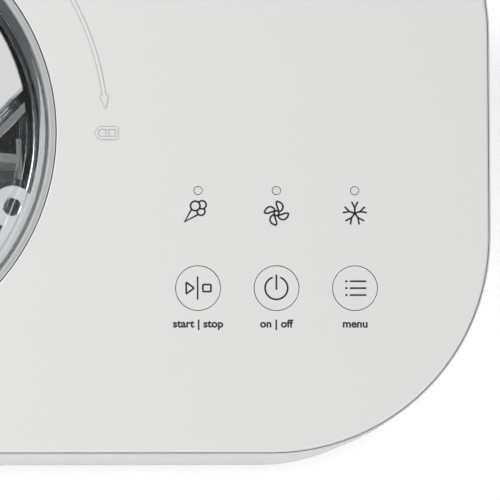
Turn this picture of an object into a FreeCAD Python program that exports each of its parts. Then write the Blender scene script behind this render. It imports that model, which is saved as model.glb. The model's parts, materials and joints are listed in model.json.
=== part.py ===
import FreeCAD, Part
import math
import os

from FreeCAD import Vector

# Compressor ice cream maker with a round twist-lock lid on the left and the controls on the right.
# Millimetres, +Z up, +X to the user's right, -Y towards the user.
# The origin is on the table, under the centre of the housing.

# ---- housing ----
top_width = 430.0
top_depth = 280.0
top_corner = 95.4
panel_top = 240.0
plate_thickness = 3.5
plate_edge_radius = 1.2
plate_gap = 0.2
band_rim_thickness = 0.6
band_rim_drop = 0.9
seam_chamfer = 0.4
hole_edge_radius = 0.5
button_edge_radius = 0.2
band_height = 70.0
band_flare = 1.7
wall = 2.6
lip_thickness = 1.9
lip_clearance = 0.2
lip_height = 6.0
foot_height = 7.0
foot_radius = 13.0
foot_inset = 48.0
pan_thickness = 3.0
pan_inset = 0.8
vent_width = 3.5
vent_pitch = 8.0
vent_bottom = 30.0
vent_height = 92.0

# ---- lid, trim ring and bayonet ----
lid_side_margin = 39.7
lid_hole_radius = 100.3
ring_gap = 0.4
ring_bevel = 0.9
ring_edge_radius = 0.3
ring_width = 3.3
ring_drop = 0.6
ring_flange_width = 7.0
ring_flange_thickness = 4.0
lid_gap = 0.6
lid_disc_thickness = 2.5
lid_proud = 0.5
skirt_clearance = 0.4
skirt_thickness = 1.9
skirt_depth = 9.0
seal_thickness = 1.5
bayonet_ledge = 2.5
bayonet_thickness = 2.5
lug_count = 3
lug_angle = 11.0
notch_angle = 17.0
lug_thickness = 3.0
lug_play = 0.3
twist_stop_angle = 24.0
cover_margin = 8.2
cover_thickness = 2.0
cover_chord = 46.3
window_turn = -45.0
hinge_offset = 2.5
hinge_rise = 0.9
barrel_radius = 1.5
barrel_end_margin = 9.0
hatch_pin_radius = 0.8
running_clearance = 0.05
hatch_gap = 0.3
hatch_thickness = 1.7
hatch_frame_width = 3.3
hatch_frame_rise = 0.6
hatch_offset = 2.9
hatch_edge_gap = 0.3
thumb_rise = 2.6
thumb_width = 2.4
thumb_half_length = 11.0
filler_step = 2.9

# ---- relief marks on the panel ----
relief_height = 0.3
mark_margin = 21.9
arrow_start_angle = 38.0
arrow_tip_angle = 5.1
arrow_line = 1.3
arrow_head_length = 5.7
arrow_head_width = 3.6
padlock_body = (4.8, 5.3)
padlock_shackle = 4.7
padlock_line = 0.8

# ---- bowl, paddle and freezer can ----
rim_drop = 18.0
bowl_wall = 1.0
bowl_depth = 103.0
bowl_rim_width = 4.5
bowl_rim_clearance = 1.0
bowl_clearance = 0.5
bowl_corner = 8.0
ear_radius = 9.4
ear_hole_radius = 4.0
ear_reach = 1.7
ear_edge_gap = 0.3
grip_clearance = 0.2
grip_angle = 64.0
ear_thickness = 3.0
ear_turn = -21.3
column_radius = 13.6
column_drop = 8.0
can_wall = 2.0
can_floor = 3.0
can_flange_gap = 0.5
can_tube_radius = 12.0
can_tube_wall = 2.4
can_tube_drop = 5.0
coil_tube_radius = 2.5
coil_turns = 10
coil_bottom_rise = 9.0
coil_top_drop = 15.0
coil_gap = 0.15
coil_lead_radius = 2.2
coil_lead_length = 80.0
foam_inner_gap = 0.6
foam_wall = 22.4
foam_floor = 18.0
paddle_wall_gap = 1.7
paddle_floor_gap = 1.0
paddle_plate = 4.0
paddle_turn = -5.5
blade_thickness = 2.4
blade_half_width = 9.0
blade_twist = 8.0
blade_drop = 16.0
paddle_hub_gap = 0.6
paddle_hub_wall = 2.8
paddle_cap_height = 8.0
hex_flats = 8.4
hex_clearance = 0.1
rest_gap = 0.3

# ---- drive ----
shaft_radius = 5.0
chassis_thickness = 3.0
chassis_margin = 2.35
chassis_post_radius = 7.0
gearbox_height = 31.0
gearbox_wall = 2.5
gearbox_floor = 3.0
pressure_angle = 25.0
backlash = 0.12
output_module = 1.25
output_teeth = 60
output_width = 9.0
small_teeth = 15
motor_module = 1.0
large_teeth = 48
large_width = 8.0
pinion_teeth = 14
pinion_turn = 50.0
gear_level_low = 7.0
gear_level_high = 18.0
axle_radius = 3.0
bush_radius = 7.5
bush_length = 8.0
motor_radius = 24.0
motor_height = 42.0
motor_shaft_radius = 2.5

# ---- refrigeration ----
compressor_radius = 50.0
compressor_height = 106.0
compressor_right = 118.0
compressor_y = 32.0
compressor_dome = 22.0
compressor_shell = 3.5
mount_height = 10.0
stub_spread = 17.0
stub_height = 8.0
pipe_radius = 3.0
pipe_bend = 9.0
capillary_radius = 1.0
condenser_right = 19.0
condenser_y = -10.0
condenser_half_width = 52.0
condenser_thickness = 18.0
condenser_rows = 5
condenser_sill = 10.0
condenser_row_pitch = 20.0
fin_count = 24
fin_thickness = 0.5
fan_radius = 46.0
fan_tip_gap = 2.5
fan_depth = 12.0
fan_hub_radius = 13.0
fan_blades = 7
shroud_depth = 22.0
shroud_wall = 3.0
fan_motor_radius = 17.0
fan_motor_length = 19.0
fan_shaft_radius = 1.5
drier_radius = 9.0
drier_length = 66.0

# ---- controls ----
button_pitch = 34.35
last_button_right = 59.0
button_front = 71.9
lamp_row_offset = 42.85
button_radius = 9.7
button_gap = 0.25
button_cap_height = 3.1
button_travel = 0.6
lamp_radius = 1.7
lamp_gap = 0.25
board_drop = 19.0
board_thickness = 1.6
board_margin = 17.0
screw_radius = 1.5
screw_head_radius = 2.8
screw_head_height = 2.0

# ---- places that follow from the sizes above ----
body_width = top_width + 2 * band_flare
body_depth = top_depth + 2 * band_flare
body_corner = top_corner + band_flare
plate_bottom = panel_top - plate_thickness
seam_level = panel_top - band_height
pan_top = foot_height + pan_thickness
lid_x = -top_width / 2 + lid_side_margin + lid_hole_radius
lid_centre = Vector(lid_x, 0, 0)
ring_outer_radius = lid_hole_radius - ring_gap
ring_inner_radius = ring_outer_radius - ring_width
lid_radius = ring_inner_radius - lid_gap
bayonet_opening = lid_radius - bayonet_ledge
skirt_outer_radius = bayonet_opening - skirt_clearance
cover_radius = lid_radius - cover_margin
hinge_chord = cover_chord + hinge_offset
barrel_half_length = math.sqrt(cover_radius ** 2 - hinge_chord ** 2) - barrel_end_margin
hatch_start_chord = hinge_chord + hatch_offset
filler_chord = hatch_start_chord + filler_step
filler_radius = cover_radius - filler_step
mark_radius = lid_hole_radius + mark_margin
disc_top = panel_top + lid_proud
disc_bottom = disc_top - lid_disc_thickness
seal_bottom = disc_bottom - seal_thickness
lug_top = seal_bottom - bayonet_thickness - lug_play
cover_top = disc_top + cover_thickness
hinge_level = disc_top + hinge_rise
hatch_bottom = disc_top + hatch_gap
rim_level = panel_top - rim_drop
bowl_bottom = rim_level - bowl_depth
bowl_rim_radius = bayonet_opening - bowl_rim_clearance
bowl_inner_radius = bowl_rim_radius - bowl_rim_width
bowl_outer_radius = bowl_inner_radius + bowl_wall
ear_centre_radius = bowl_inner_radius - ear_reach
can_inner_radius = bowl_outer_radius + bowl_clearance
can_outer_radius = can_inner_radius + can_wall
can_bottom = bowl_bottom - can_floor
can_flange_radius = ring_outer_radius - can_flange_gap
coil_radius = can_outer_radius + coil_tube_radius + coil_gap
coil_bottom = can_bottom + coil_bottom_rise
coil_top = rim_level - coil_top_drop
foam_inner_radius = coil_radius + coil_tube_radius + foam_inner_gap
foam_outer_radius = foam_inner_radius + foam_wall
foam_bottom = can_bottom - foam_floor
chassis_bottom = foam_bottom - chassis_thickness
chassis_radius = foam_outer_radius + chassis_margin
gearbox_top = chassis_bottom
gearbox_bottom = gearbox_top - gearbox_height
gearbox_base_bottom = gearbox_bottom - gearbox_floor
column_top = rim_level - column_drop
can_tube_top = column_top - can_floor - can_tube_drop
shaft_top = column_top + rest_gap + 5.0
paddle_cap_bottom = column_top + 1.0
output_distance = output_module * (output_teeth + small_teeth) / 2
pinion_distance = motor_module * (large_teeth + pinion_teeth) / 2
axle_place = lid_centre + Vector(output_distance, 0, 0)
pinion_place = axle_place + Vector(
    pinion_distance * math.cos(math.radians(pinion_turn)),
    pinion_distance * math.sin(math.radians(pinion_turn)),
    0,
)
compressor_x = top_width / 2 - compressor_right
compressor_bottom = pan_top + mount_height
compressor_top = compressor_bottom + compressor_height
stub_top = compressor_top + stub_height
condenser_x = body_width / 2 - condenser_right
condenser_bottom = pan_top + condenser_sill
fan_level = condenser_bottom + (condenser_rows - 1) * condenser_row_pitch / 2 + 10.0
button_y = -top_depth / 2 + button_front
button_xs = [top_width / 2 - last_button_right - button_pitch * step for step in (2, 1, 0)]
lamp_y = button_y + lamp_row_offset
board_level = panel_top - board_drop
board_top = board_level + board_thickness


# ---- shapes used more than once ----
def cylinder(radius, low, high, place=Vector(0, 0, 0)):
    return Part.makeCylinder(radius, high - low, Vector(place.x, place.y, low))


def tube(outer, inner, low, high, place=Vector(0, 0, 0)):
    return cylinder(outer, low, high, place).cut(cylinder(inner, low - 1, high + 1, place))


def block(x_low, x_high, y_low, y_high, z_low, z_high):
    return Part.makeBox(x_high - x_low, y_high - y_low, z_high - z_low, Vector(x_low, y_low, z_low))


def rounded_outline(width, depth, corner, level):
    # four straight sides joined by quarter arcs, anticlockwise from the right-hand side
    half_x = width / 2
    half_y = depth / 2
    middle = corner * (1 - math.sqrt(0.5))
    edges = []
    for turn in range(4):
        x, y = (half_x, half_y) if turn % 2 == 0 else (half_y, half_x)
        rotation = FreeCAD.Rotation(Vector(0, 0, 1), 90 * turn)
        place = [
            rotation.multVec(Vector(*point, 0)) + Vector(0, 0, level)
            for point in (
                (x, corner - y),
                (x, y - corner),
                (x - middle, y - middle),
                (x - corner, y),
            )
        ]
        edges.append(Part.LineSegment(place[0], place[1]).toShape())
        edges.append(Part.Arc(place[1], place[2], place[3]).toShape())
    return Part.Wire(edges)


def rounded_prism(inset, low, high):
    # the lower body's plan, moved inwards by inset
    outline = rounded_outline(body_width - 2 * inset, body_depth - 2 * inset, body_corner - inset, low)
    return Part.Face(outline).extrude(Vector(0, 0, high - low))


def top_prism(inset, low, high):
    # the top panel's plan, moved inwards by inset
    outline = rounded_outline(top_width - 2 * inset, top_depth - 2 * inset, top_corner - inset, low)
    return Part.Face(outline).extrude(Vector(0, 0, high - low))


def drafted_prism(low_inset, high_inset, low, high):
    # from the lower body's plan at low to the top panel's plan at high, each moved inwards
    below = rounded_outline(body_width - 2 * low_inset, body_depth - 2 * low_inset,
                            body_corner - low_inset, low)
    above = rounded_outline(top_width - 2 * high_inset, top_depth - 2 * high_inset,
                            top_corner - high_inset, high)
    return Part.makeLoft([below, above], True, True)


def edges_at(shape, level, least_length=0.0):
    # the edges of shape that lie flat at a level
    return [
        edge
        for edge in shape.Edges
        if abs(edge.BoundBox.ZMin - level) < 1e-6
        and abs(edge.BoundBox.ZMax - level) < 1e-6
        and edge.Length > least_length
    ]


def rims(shape, level, radius):
    # the round edges of one size that lie flat at a level
    return [
        edge
        for edge in edges_at(shape, level)
        if isinstance(edge.Curve, Part.Circle) and abs(edge.Curve.Radius - radius) < 1e-6
    ]


def turned(shape, angle, place=lid_centre):
    copy = shape.copy()
    copy.rotate(place, Vector(0, 0, 1), angle)
    return copy


def fused(shapes):
    first, rest = shapes[0], shapes[1:]
    return first.fuse(rest).removeSplitter() if rest else first


def sector(outer, inner, low, high, start, end):
    # part of a ring about the lid's centre, between two angles
    ring = Part.makeCylinder(outer, high - low, Vector(lid_x, 0, low), Vector(0, 0, 1), end - start)
    ring.rotate(lid_centre, Vector(0, 0, 1), start)
    return ring.cut(cylinder(inner, low - 1, high + 1, lid_centre))


def screw(place, seat, length, direction=1, radius=screw_radius, head=screw_head_radius):
    # a pan-head screw: its head is under the seat and its shank runs along direction, with a cross recess
    axis = Vector(0, 0, direction)
    start = Vector(place.x, place.y, seat)
    shank = Part.makeCylinder(radius, length, start, axis)
    cap = Part.makeCylinder(head, screw_head_height, start, axis * -1)
    slot = 0.35 * head
    low = min(seat, seat - direction * screw_head_height)
    recess = 0.5 * screw_head_height
    bottom = low if direction > 0 else low + screw_head_height - recess
    arm_a = block(place.x - 0.7 * head, place.x + 0.7 * head, place.y - slot / 2, place.y + slot / 2,
                  bottom, bottom + recess)
    arm_b = block(place.x - slot / 2, place.x + slot / 2, place.y - 0.7 * head, place.y + 0.7 * head,
                  bottom, bottom + recess)
    return shank.fuse(cap).removeSplitter().cut(arm_a.fuse(arm_b))


def bent_path(points, bend):
    # straight runs joined by tangent arcs
    edges = []
    start = points[0]
    for before, corner, after in zip(points, points[1:], points[2:]):
        into = (corner - before).normalize()
        out = (after - corner).normalize()
        turn = into.getAngle(out)
        reach = bend * math.tan(turn / 2)
        arc_start = corner - into * reach
        arc_end = corner + out * reach
        inward = (out - into).normalize()
        arc_middle = corner + inward * (bend / math.cos(turn / 2) - bend)
        edges.append(Part.LineSegment(start, arc_start).toShape())
        edges.append(Part.Arc(arc_start, arc_middle, arc_end).toShape())
        start = arc_end
    edges.append(Part.LineSegment(start, points[-1]).toShape())
    return Part.Wire(edges)


def pipe(points, radius, bend):
    path = bent_path(points, bend)
    section = Part.Wire([Part.makeCircle(radius, points[0], points[1] - points[0])])
    swept = path.makePipeShell([section], True, False)
    expected = math.pi * radius ** 2 * path.Length
    if abs(swept.Volume / expected - 1) > 0.001:
        raise ValueError("a pipe's volume is not its section times its length")
    return swept


def gear(teeth, module, bore, low, high, place, phase):
    # an involute spur gear: each tooth is thinned by half the backlash on both sides of its pitch point
    pitch_radius = module * teeth / 2
    base_radius = pitch_radius * math.cos(math.radians(pressure_angle))
    tip_radius = pitch_radius + 0.95 * module
    root_radius = pitch_radius - 1.2 * module
    start_radius = max(base_radius, root_radius)

    def involute(radius):
        pressure = math.acos(min(1.0, base_radius / radius))
        return math.tan(pressure) - pressure

    half_tooth = (math.pi * module / 2 - backlash / 2) / 2 / pitch_radius
    steps = 5
    flank = []
    for step in range(steps + 1):
        radius = start_radius + (tip_radius - start_radius) * step / steps
        flank.append((radius, half_tooth + involute(pitch_radius) - involute(radius)))

    def at(radius, angle):
        return Vector(radius * math.cos(angle), radius * math.sin(angle), 0)

    points = []
    for tooth in range(teeth):
        centre = 2 * math.pi * tooth / teeth
        points.append(at(root_radius, centre - flank[0][1]))
        points += [at(radius, centre - angle) for radius, angle in flank]
        points += [at(radius, centre + angle) for radius, angle in reversed(flank)]
        points.append(at(root_radius, centre + flank[0][1]))
    outline = Part.makePolygon(points + [points[0]])
    body = Part.Face(outline).extrude(Vector(0, 0, high - low))
    body = body.cut(Part.makeCylinder(bore, high - low + 2, Vector(0, 0, -1)))
    body.rotate(Vector(0, 0, 0), Vector(0, 0, 1), phase)
    body.translate(Vector(place.x, place.y, low))
    return body


def write(node, shape):
    # one STEP file for one piece, or for one group of identical pieces
    solids = shape.Solids
    if not solids or not all(solid.isValid() for solid in solids):
        raise ValueError(node + " is not a sound solid")
    print(node, len(solids), "solids", round(shape.Volume / 1000, 2), "cm3")
    kept = solids[0] if len(solids) == 1 else Part.makeCompound(solids)
    kept.exportStep("parts/" + node + ".step")


def cylinder_x(radius, low, high, y, z):
    return Part.makeCylinder(radius, high - low, Vector(low, y, z), Vector(1, 0, 0))


# ---- housing ----
case_screw_xs = (-110.0, 0.0, 110.0)
case_screw_y = body_depth / 2 - wall - 4.2
case_screws_at = [Vector(x, side * case_screw_y, 0) for x in case_screw_xs for side in (-1, 1)]
ring_screw_radius = ring_outer_radius + ring_flange_width / 2 + 0.4
ring_screws_at = [
    lid_centre + Vector(
        ring_screw_radius * math.cos(math.radians(60 * step + 30)),
        ring_screw_radius * math.sin(math.radians(60 * step + 30)),
        0,
    )
    for step in range(6)
]
board_x_low = button_xs[0] - board_margin
board_x_high = button_xs[2] + board_margin
board_y_low = button_y - board_margin
board_y_high = lamp_y + board_margin
board_screws_at = [
    Vector(x, y, 0)
    for x in (board_x_low + 4.5, board_x_high - 4.5)
    for y in (board_y_low + 4.5, board_y_high - 4.5)
]


def arrow_mark():
    # a clockwise arrow about the lid, its tip just behind the padlock
    low = panel_top - 0.2
    high = panel_top + relief_height
    head_angle = math.degrees(arrow_head_length / mark_radius)
    tail = sector(mark_radius + arrow_line / 2, mark_radius - arrow_line / 2, low, high,
                  arrow_tip_angle + head_angle - 0.3, arrow_start_angle)
    base = math.radians(arrow_tip_angle + head_angle)
    tip = math.radians(arrow_tip_angle)
    corners = [
        Vector((mark_radius - arrow_head_width / 2) * math.cos(base),
               (mark_radius - arrow_head_width / 2) * math.sin(base), low),
        Vector((mark_radius + arrow_head_width / 2) * math.cos(base),
               (mark_radius + arrow_head_width / 2) * math.sin(base), low),
        Vector(mark_radius * math.cos(tip), mark_radius * math.sin(tip), low),
    ]
    corners = [corner + lid_centre for corner in corners]
    head = Part.Face(Part.makePolygon(corners + corners[:1])).extrude(Vector(0, 0, high - low))
    return tail.fuse(head)


def padlock_mark():
    # an outlined padlock lying on its side, the shackle towards the lid
    low = panel_top - 0.2
    high = panel_top + relief_height
    length, width = padlock_body
    centre_x = lid_x + mark_radius
    line = padlock_line
    body = block(centre_x, centre_x + length, -width / 2, width / 2, low, high)
    body = body.cut(block(centre_x + line, centre_x + length - line, line - width / 2, width / 2 - line,
                          low - 1, high + 1))
    bow_radius = width / 2
    bow_place = Vector(centre_x - padlock_shackle + bow_radius, 0, 0)
    outer = cylinder(bow_radius, low, high, bow_place).fuse(
        block(bow_place.x, centre_x + line, -bow_radius, bow_radius, low, high))
    inner = cylinder(bow_radius - line, low - 1, high + 1, bow_place).fuse(
        block(bow_place.x, centre_x, line - bow_radius, bow_radius - line, low - 1, high + 1))
    bow = outer.cut(inner).cut(block(centre_x + line, centre_x + 50, -10, 10, low - 1, high + 1))
    return body.fuse(bow)


def top_plate():
    plate = top_prism(0, plate_bottom, panel_top)
    plate = plate.makeFillet(plate_edge_radius, edges_at(plate, panel_top))
    plate = plate.makeChamfer(seam_chamfer, edges_at(plate, plate_bottom))
    lip_outer = wall + lip_clearance
    lip = top_prism(lip_outer, plate_bottom - lip_height, plate_bottom)
    lip = lip.cut(top_prism(lip_outer + lip_thickness, plate_bottom - lip_height - 1, plate_bottom + 1))
    plate = plate.fuse(lip)
    bosses = [cylinder(3.6, board_top, plate_bottom, place) for place in board_screws_at]
    plate = plate.fuse(bosses)
    holes = [cylinder(lid_hole_radius, plate_bottom - 1, panel_top + 1, lid_centre)]
    for x in button_xs:
        holes.append(cylinder(button_radius + button_gap, plate_bottom - 1, panel_top + 1,
                              Vector(x, button_y, 0)))
        holes.append(cylinder(lamp_radius + lamp_gap, plate_bottom - 1, panel_top + 1,
                              Vector(x, lamp_y, 0)))
    for place in ring_screws_at:
        holes.append(cylinder(screw_radius, plate_bottom - 1, plate_bottom + 2.2, place))
    for place in board_screws_at:
        holes.append(cylinder(screw_radius, board_top - 1, board_top + 8.2, place))
    plate = plate.cut(holes)
    plate = plate.makeFillet(hole_edge_radius, rims(plate, panel_top, lid_hole_radius))
    for radius in (button_radius + button_gap, lamp_radius + lamp_gap):
        plate = plate.makeFillet(button_edge_radius, rims(plate, panel_top, radius))
    return plate.fuse([arrow_mark(), padlock_mark()]).removeSplitter()


def upper_housing():
    # the plate sits on the wall's top, inside a thin rim
    rim_top = panel_top - band_rim_drop
    shell = drafted_prism(0, -plate_gap - band_rim_thickness, seam_level, rim_top)
    shell = shell.makeChamfer(seam_chamfer, edges_at(shell, seam_level))
    shell = shell.makeFillet(band_rim_thickness / 2, edges_at(shell, rim_top))
    seat = top_prism(-plate_gap, plate_bottom, panel_top)
    return shell.cut([drafted_prism(wall, wall, seam_level, plate_bottom), seat])


inlet_x = 44.0
inlet_width = 30.0
inlet_height = 24.0
inlet_bottom = 34.0
inlet_depth = 24.0
inlet_pin_drop = 8.0


def lower_housing():
    shell = rounded_prism(0, pan_top, seam_level)
    shell = shell.makeChamfer(seam_chamfer, edges_at(shell, seam_level))
    shell = shell.cut(rounded_prism(wall, pan_top - 1, seam_level + 1))
    lip_outer = wall + lip_clearance + band_flare * lip_height / band_height
    lip = rounded_prism(lip_outer, seam_level - 4, seam_level + lip_height)
    lip_root = rounded_prism(wall - 0.5, seam_level - 4 - lip_height, seam_level - 4)
    lip_hole = rounded_prism(lip_outer + lip_thickness, seam_level - 5 - lip_height,
                             seam_level + lip_height + 1)
    shell = shell.fuse([lip.fuse(lip_root).cut(lip_hole)])
    bosses = [cylinder(4.5, pan_top, pan_top + 24, place) for place in case_screws_at]
    shell = shell.fuse(bosses)
    outside = rounded_prism(-50, pan_top - 5, seam_level + 20)
    shell = shell.cut(outside.cut(rounded_prism(0, pan_top - 6, seam_level + 21)))
    cuts = [cylinder(screw_radius, pan_top - 1, pan_top + 15.2, place) for place in case_screws_at]
    for step in range(13):
        y = condenser_y + vent_pitch * (step - 6)
        cuts.append(block(body_width / 2 - wall - 3, body_width / 2 + 3,
                          y - vent_width / 2, y + vent_width / 2,
                          vent_bottom, vent_bottom + vent_height))
    for step in range(12):
        x = compressor_x + vent_pitch * (step - 6.5) - 2
        if x > inlet_x + inlet_width / 2 + 6:
            cuts.append(block(x - vent_width / 2, x + vent_width / 2,
                              body_depth / 2 - wall - 3, body_depth / 2 + 3,
                              vent_bottom + 30, vent_bottom + vent_height + 30))
    cuts.append(block(inlet_x - inlet_width / 2, inlet_x + inlet_width / 2, body_depth / 2 - wall - 1,
                      body_depth / 2 + 1, inlet_bottom, inlet_bottom + inlet_height))
    return shell.cut(cuts).removeSplitter()


chassis_posts_at = [
    lid_centre + Vector(
        (chassis_radius - chassis_post_radius - 3) * math.cos(math.radians(90 * step + 45)),
        (chassis_radius - chassis_post_radius - 3) * math.sin(math.radians(90 * step + 45)),
        0,
    )
    for step in range(4)
]
feet_at = [
    Vector(x * (body_width / 2 - foot_inset), y * (body_depth / 2 - foot_inset), 0)
    for x in (-1, 1) for y in (-1, 1)
]
compressor_place = Vector(compressor_x, compressor_y, 0)
compressor_feet_at = [
    compressor_place + Vector(x * (compressor_radius - 4), y * (compressor_radius - 10), 0)
    for x in (-1, 1) for y in (-1, 1)
]
power_board_low = Vector(compressor_x - 45, -body_depth / 2 + 22, pan_top + 8)
power_board_size = Vector(92, 50, board_thickness)
power_posts_at = [
    Vector(power_board_low.x + x, power_board_low.y + y, 0)
    for x in (5, power_board_size.x - 5) for y in (5, power_board_size.y - 5)
]


def base_pan():
    pan = rounded_prism(pan_inset, foot_height, pan_top)
    rim = rounded_prism(wall + 1.0, pan_top, pan_top + 4)
    rim = rim.cut(rounded_prism(wall + 3.0, pan_top - 1, pan_top + 5))
    rim = rim.cut([cylinder(5.0, pan_top - 1, pan_top + 6, place) for place in case_screws_at])
    posts = [cylinder(chassis_post_radius - 2.2, pan_top, pan_top + 6, place) for place in chassis_posts_at]
    posts += [cylinder(3.2, pan_top, power_board_low.z, place) for place in power_posts_at]
    posts.append(block(condenser_x - 36, condenser_x + 10, condenser_y - 40, condenser_y + 40,
                       pan_top, condenser_bottom))
    pan = fused([pan, rim] + posts)
    cuts = [cylinder(screw_radius + 0.1, foot_height - 1, pan_top + 1, place) for place in case_screws_at]
    cuts += [cylinder(screw_radius, foot_height - 1, pan_top + 7, place) for place in compressor_feet_at]
    cuts += [cylinder(4.0, foot_height - 1, pan_top + 1, place) for place in feet_at]
    cuts += [cylinder(screw_radius, pan_top + 1, power_board_low.z + 1, place) for place in power_posts_at]
    for step in range(11):
        x = compressor_x + vent_pitch * (step - 5)
        cuts.append(block(x - vent_width / 2, x + vent_width / 2, compressor_y - 26, compressor_y + 26,
                          foot_height - 1, pan_top + 1))
    return pan.cut(cuts)


def rubber_foot(place):
    # a soft foot with a stem that pulls through the pan and snaps over it
    pad = Part.makeCone(foot_radius - 1, foot_radius, foot_height, Vector(place.x, place.y, 0))
    stem = cylinder(4.0, foot_height, pan_top, place)
    bead = cylinder(5.2, pan_top, pan_top + 2.5, place)
    dimple = cylinder(foot_radius - 5, -1, 1.5, place)
    return fused([pad, stem, bead]).cut(dimple)


def power_inlet():
    front = body_depth / 2 - 0.2
    inner_face = body_depth / 2 - wall
    low = inlet_bottom + 0.2
    high = inlet_bottom + inlet_height - 0.2
    left = inlet_x - inlet_width / 2 + 0.2
    right = inlet_x + inlet_width / 2 - 0.2
    body = block(left, right, front - inlet_depth, front, low, high)
    flange = block(left - 4, right + 4, inner_face - 2.5, inner_face, low, high)
    cavity = block(left + 3, right - 3, front - inlet_depth + 5, front + 1, low + 3.5, high - 3.5)
    shell = body.fuse(flange).removeSplitter().cut(cavity)
    pins = []
    for x, lift in ((-7, -2.2), (0, 2.2), (7, -2.2)):
        middle = (low + high) / 2 + lift
        pins.append(block(inlet_x + x - 1, inlet_x + x + 1, front - inlet_depth - 6, front - inlet_pin_drop,
                          middle - 2, middle + 2))
    return fused([shell] + pins)


# ---- lid ----
def window_frame(shape):
    # from the lid's own frame, with +X across the hinge, to the housing
    copy = shape.copy()
    copy.rotate(Vector(0, 0, 0), Vector(0, 0, 1), window_turn)
    copy.translate(lid_centre)
    return copy


def beyond(chord, low, high):
    # everything past a chord, in the lid's own frame
    return block(chord, chord + 200, -200, 200, low, high)


def trim_ring():
    low = rim_level
    top = panel_top - ring_drop
    ring = tube(ring_outer_radius, ring_inner_radius, low, top, lid_centre)
    ring = ring.makeChamfer(ring_bevel, rims(ring, top, ring_inner_radius))
    ring = ring.makeFillet(ring_edge_radius, rims(ring, top, ring_outer_radius))
    flange = tube(ring_outer_radius + ring_flange_width, ring_inner_radius + 1,
                  plate_bottom - ring_flange_thickness, plate_bottom, lid_centre)
    bayonet = tube(ring_inner_radius + 1, bayonet_opening, seal_bottom - bayonet_thickness, seal_bottom,
                   lid_centre)
    body = fused([ring, flange, bayonet])
    cuts = []
    for step in range(lug_count):
        middle = 360 / lug_count * step + 15
        cuts.append(sector(ring_inner_radius, bayonet_opening - 3, seal_bottom - bayonet_thickness - 1,
                           seal_bottom + 1, middle - notch_angle / 2, middle + notch_angle / 2))
    cuts += [cylinder(screw_radius, plate_bottom - ring_flange_thickness - 1, plate_bottom + 1, place)
             for place in ring_screws_at]
    body = body.cut(cuts)
    stops = []
    for step in range(lug_count):
        middle = 360 / lug_count * step + 15
        start = middle - twist_stop_angle - lug_angle / 2 - 4
        stops.append(sector(ring_inner_radius + 1, bayonet_opening, lug_top - lug_thickness,
                            seal_bottom - 0.1, start, start + 3))
    return fused([body] + stops)


def lid_seal():
    return tube(lid_radius + 0.2, skirt_outer_radius + 0.3, seal_bottom, disc_bottom, lid_centre)


def lid_base():
    disc = cylinder(lid_radius, disc_bottom, disc_top)
    disc = disc.makeFillet(0.6, edges_at(disc, disc_top))
    skirt = tube(skirt_outer_radius, skirt_outer_radius - skirt_thickness, disc_bottom - skirt_depth,
                 disc_bottom + 0.5)
    opening = cylinder(filler_radius, disc_bottom - 1, disc_top + 1)
    opening = opening.common(beyond(filler_chord, disc_bottom - 1, disc_top + 1))
    groove = block(hinge_chord - barrel_radius - 0.4, hinge_chord + barrel_radius + 0.8,
                   -barrel_half_length - 5, barrel_half_length + 5,
                   hinge_level - barrel_radius - rest_gap, disc_top + 1)
    groove = groove.common(cylinder(cover_radius, disc_bottom - 1, disc_top + 2))
    ears = []
    for side in (-1, 1):
        near = side * (barrel_half_length + hatch_gap)
        far = side * (barrel_half_length + 4)
        ears.append(block(hinge_chord - 1.85, hinge_chord + 1.85, min(near, far), max(near, far),
                          hinge_level - barrel_radius - rest_gap - 0.2, hinge_level + 1.7))
    body = fused([disc, skirt]).cut([opening, groove])
    body = fused([body] + ears)
    pin_hole = Part.makeCylinder(hatch_pin_radius, 2 * barrel_half_length + 20,
                                 Vector(hinge_chord, -barrel_half_length - 10, hinge_level),
                                 Vector(0, 1, 0))
    body = window_frame(body.cut(pin_hole))
    lugs = []
    for step in range(lug_count):
        middle = 360 / lug_count * step + 15
        lugs.append(sector(ring_inner_radius - 0.4, skirt_outer_radius - 0.6,
                           lug_top - lug_thickness, lug_top,
                           middle - lug_angle / 2, middle + lug_angle / 2))
    return fused([body] + lugs)


def lid_cover():
    disc = cylinder(cover_radius, disc_top, cover_top)
    disc = disc.cut(beyond(cover_chord, disc_top - 1, cover_top + 1))
    disc = disc.makeFillet(0.7, edges_at(disc, cover_top))
    return window_frame(disc)


def filler_hatch():
    edge_radius = cover_radius - hatch_edge_gap
    level = hatch_bottom + hatch_thickness
    plate = cylinder(edge_radius, hatch_bottom, level)
    plate = plate.common(beyond(hatch_start_chord, hatch_bottom - 1, level + 1))
    frame = cylinder(edge_radius, level, level + hatch_frame_rise)
    frame = frame.common(beyond(hatch_start_chord, level - 1, level + 2))
    inside = cylinder(edge_radius - hatch_frame_width, level - 1, level + 2)
    inside = inside.common(beyond(hatch_start_chord + hatch_frame_width, level - 1, level + 2))
    frame = frame.cut(inside)
    barrel = Part.makeCylinder(barrel_radius, 2 * barrel_half_length,
                               Vector(hinge_chord, -barrel_half_length, hinge_level), Vector(0, 1, 0))
    web = block(hinge_chord, hatch_start_chord + 1, -barrel_half_length, barrel_half_length, hatch_bottom,
                level)
    thumb = cylinder(edge_radius, level, level + thumb_rise)
    thumb = thumb.cut(cylinder(edge_radius - thumb_width, level - 1, level + thumb_rise + 1))
    thumb = thumb.common(block(hatch_start_chord, cover_radius, -thumb_half_length, thumb_half_length,
                               level - 1, level + thumb_rise + 1))
    body = fused([plate, frame, barrel, web, thumb])
    bore = Part.makeCylinder(hatch_pin_radius + running_clearance, 2 * barrel_half_length + 2,
                             Vector(hinge_chord, -barrel_half_length - 1, hinge_level), Vector(0, 1, 0))
    return window_frame(body.cut(bore))


def hatch_pin():
    half = barrel_half_length + 3.5
    pin = Part.makeCylinder(hatch_pin_radius, 2 * half, Vector(hinge_chord, -half, hinge_level),
                            Vector(0, 1, 0))
    return window_frame(pin)


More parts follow.
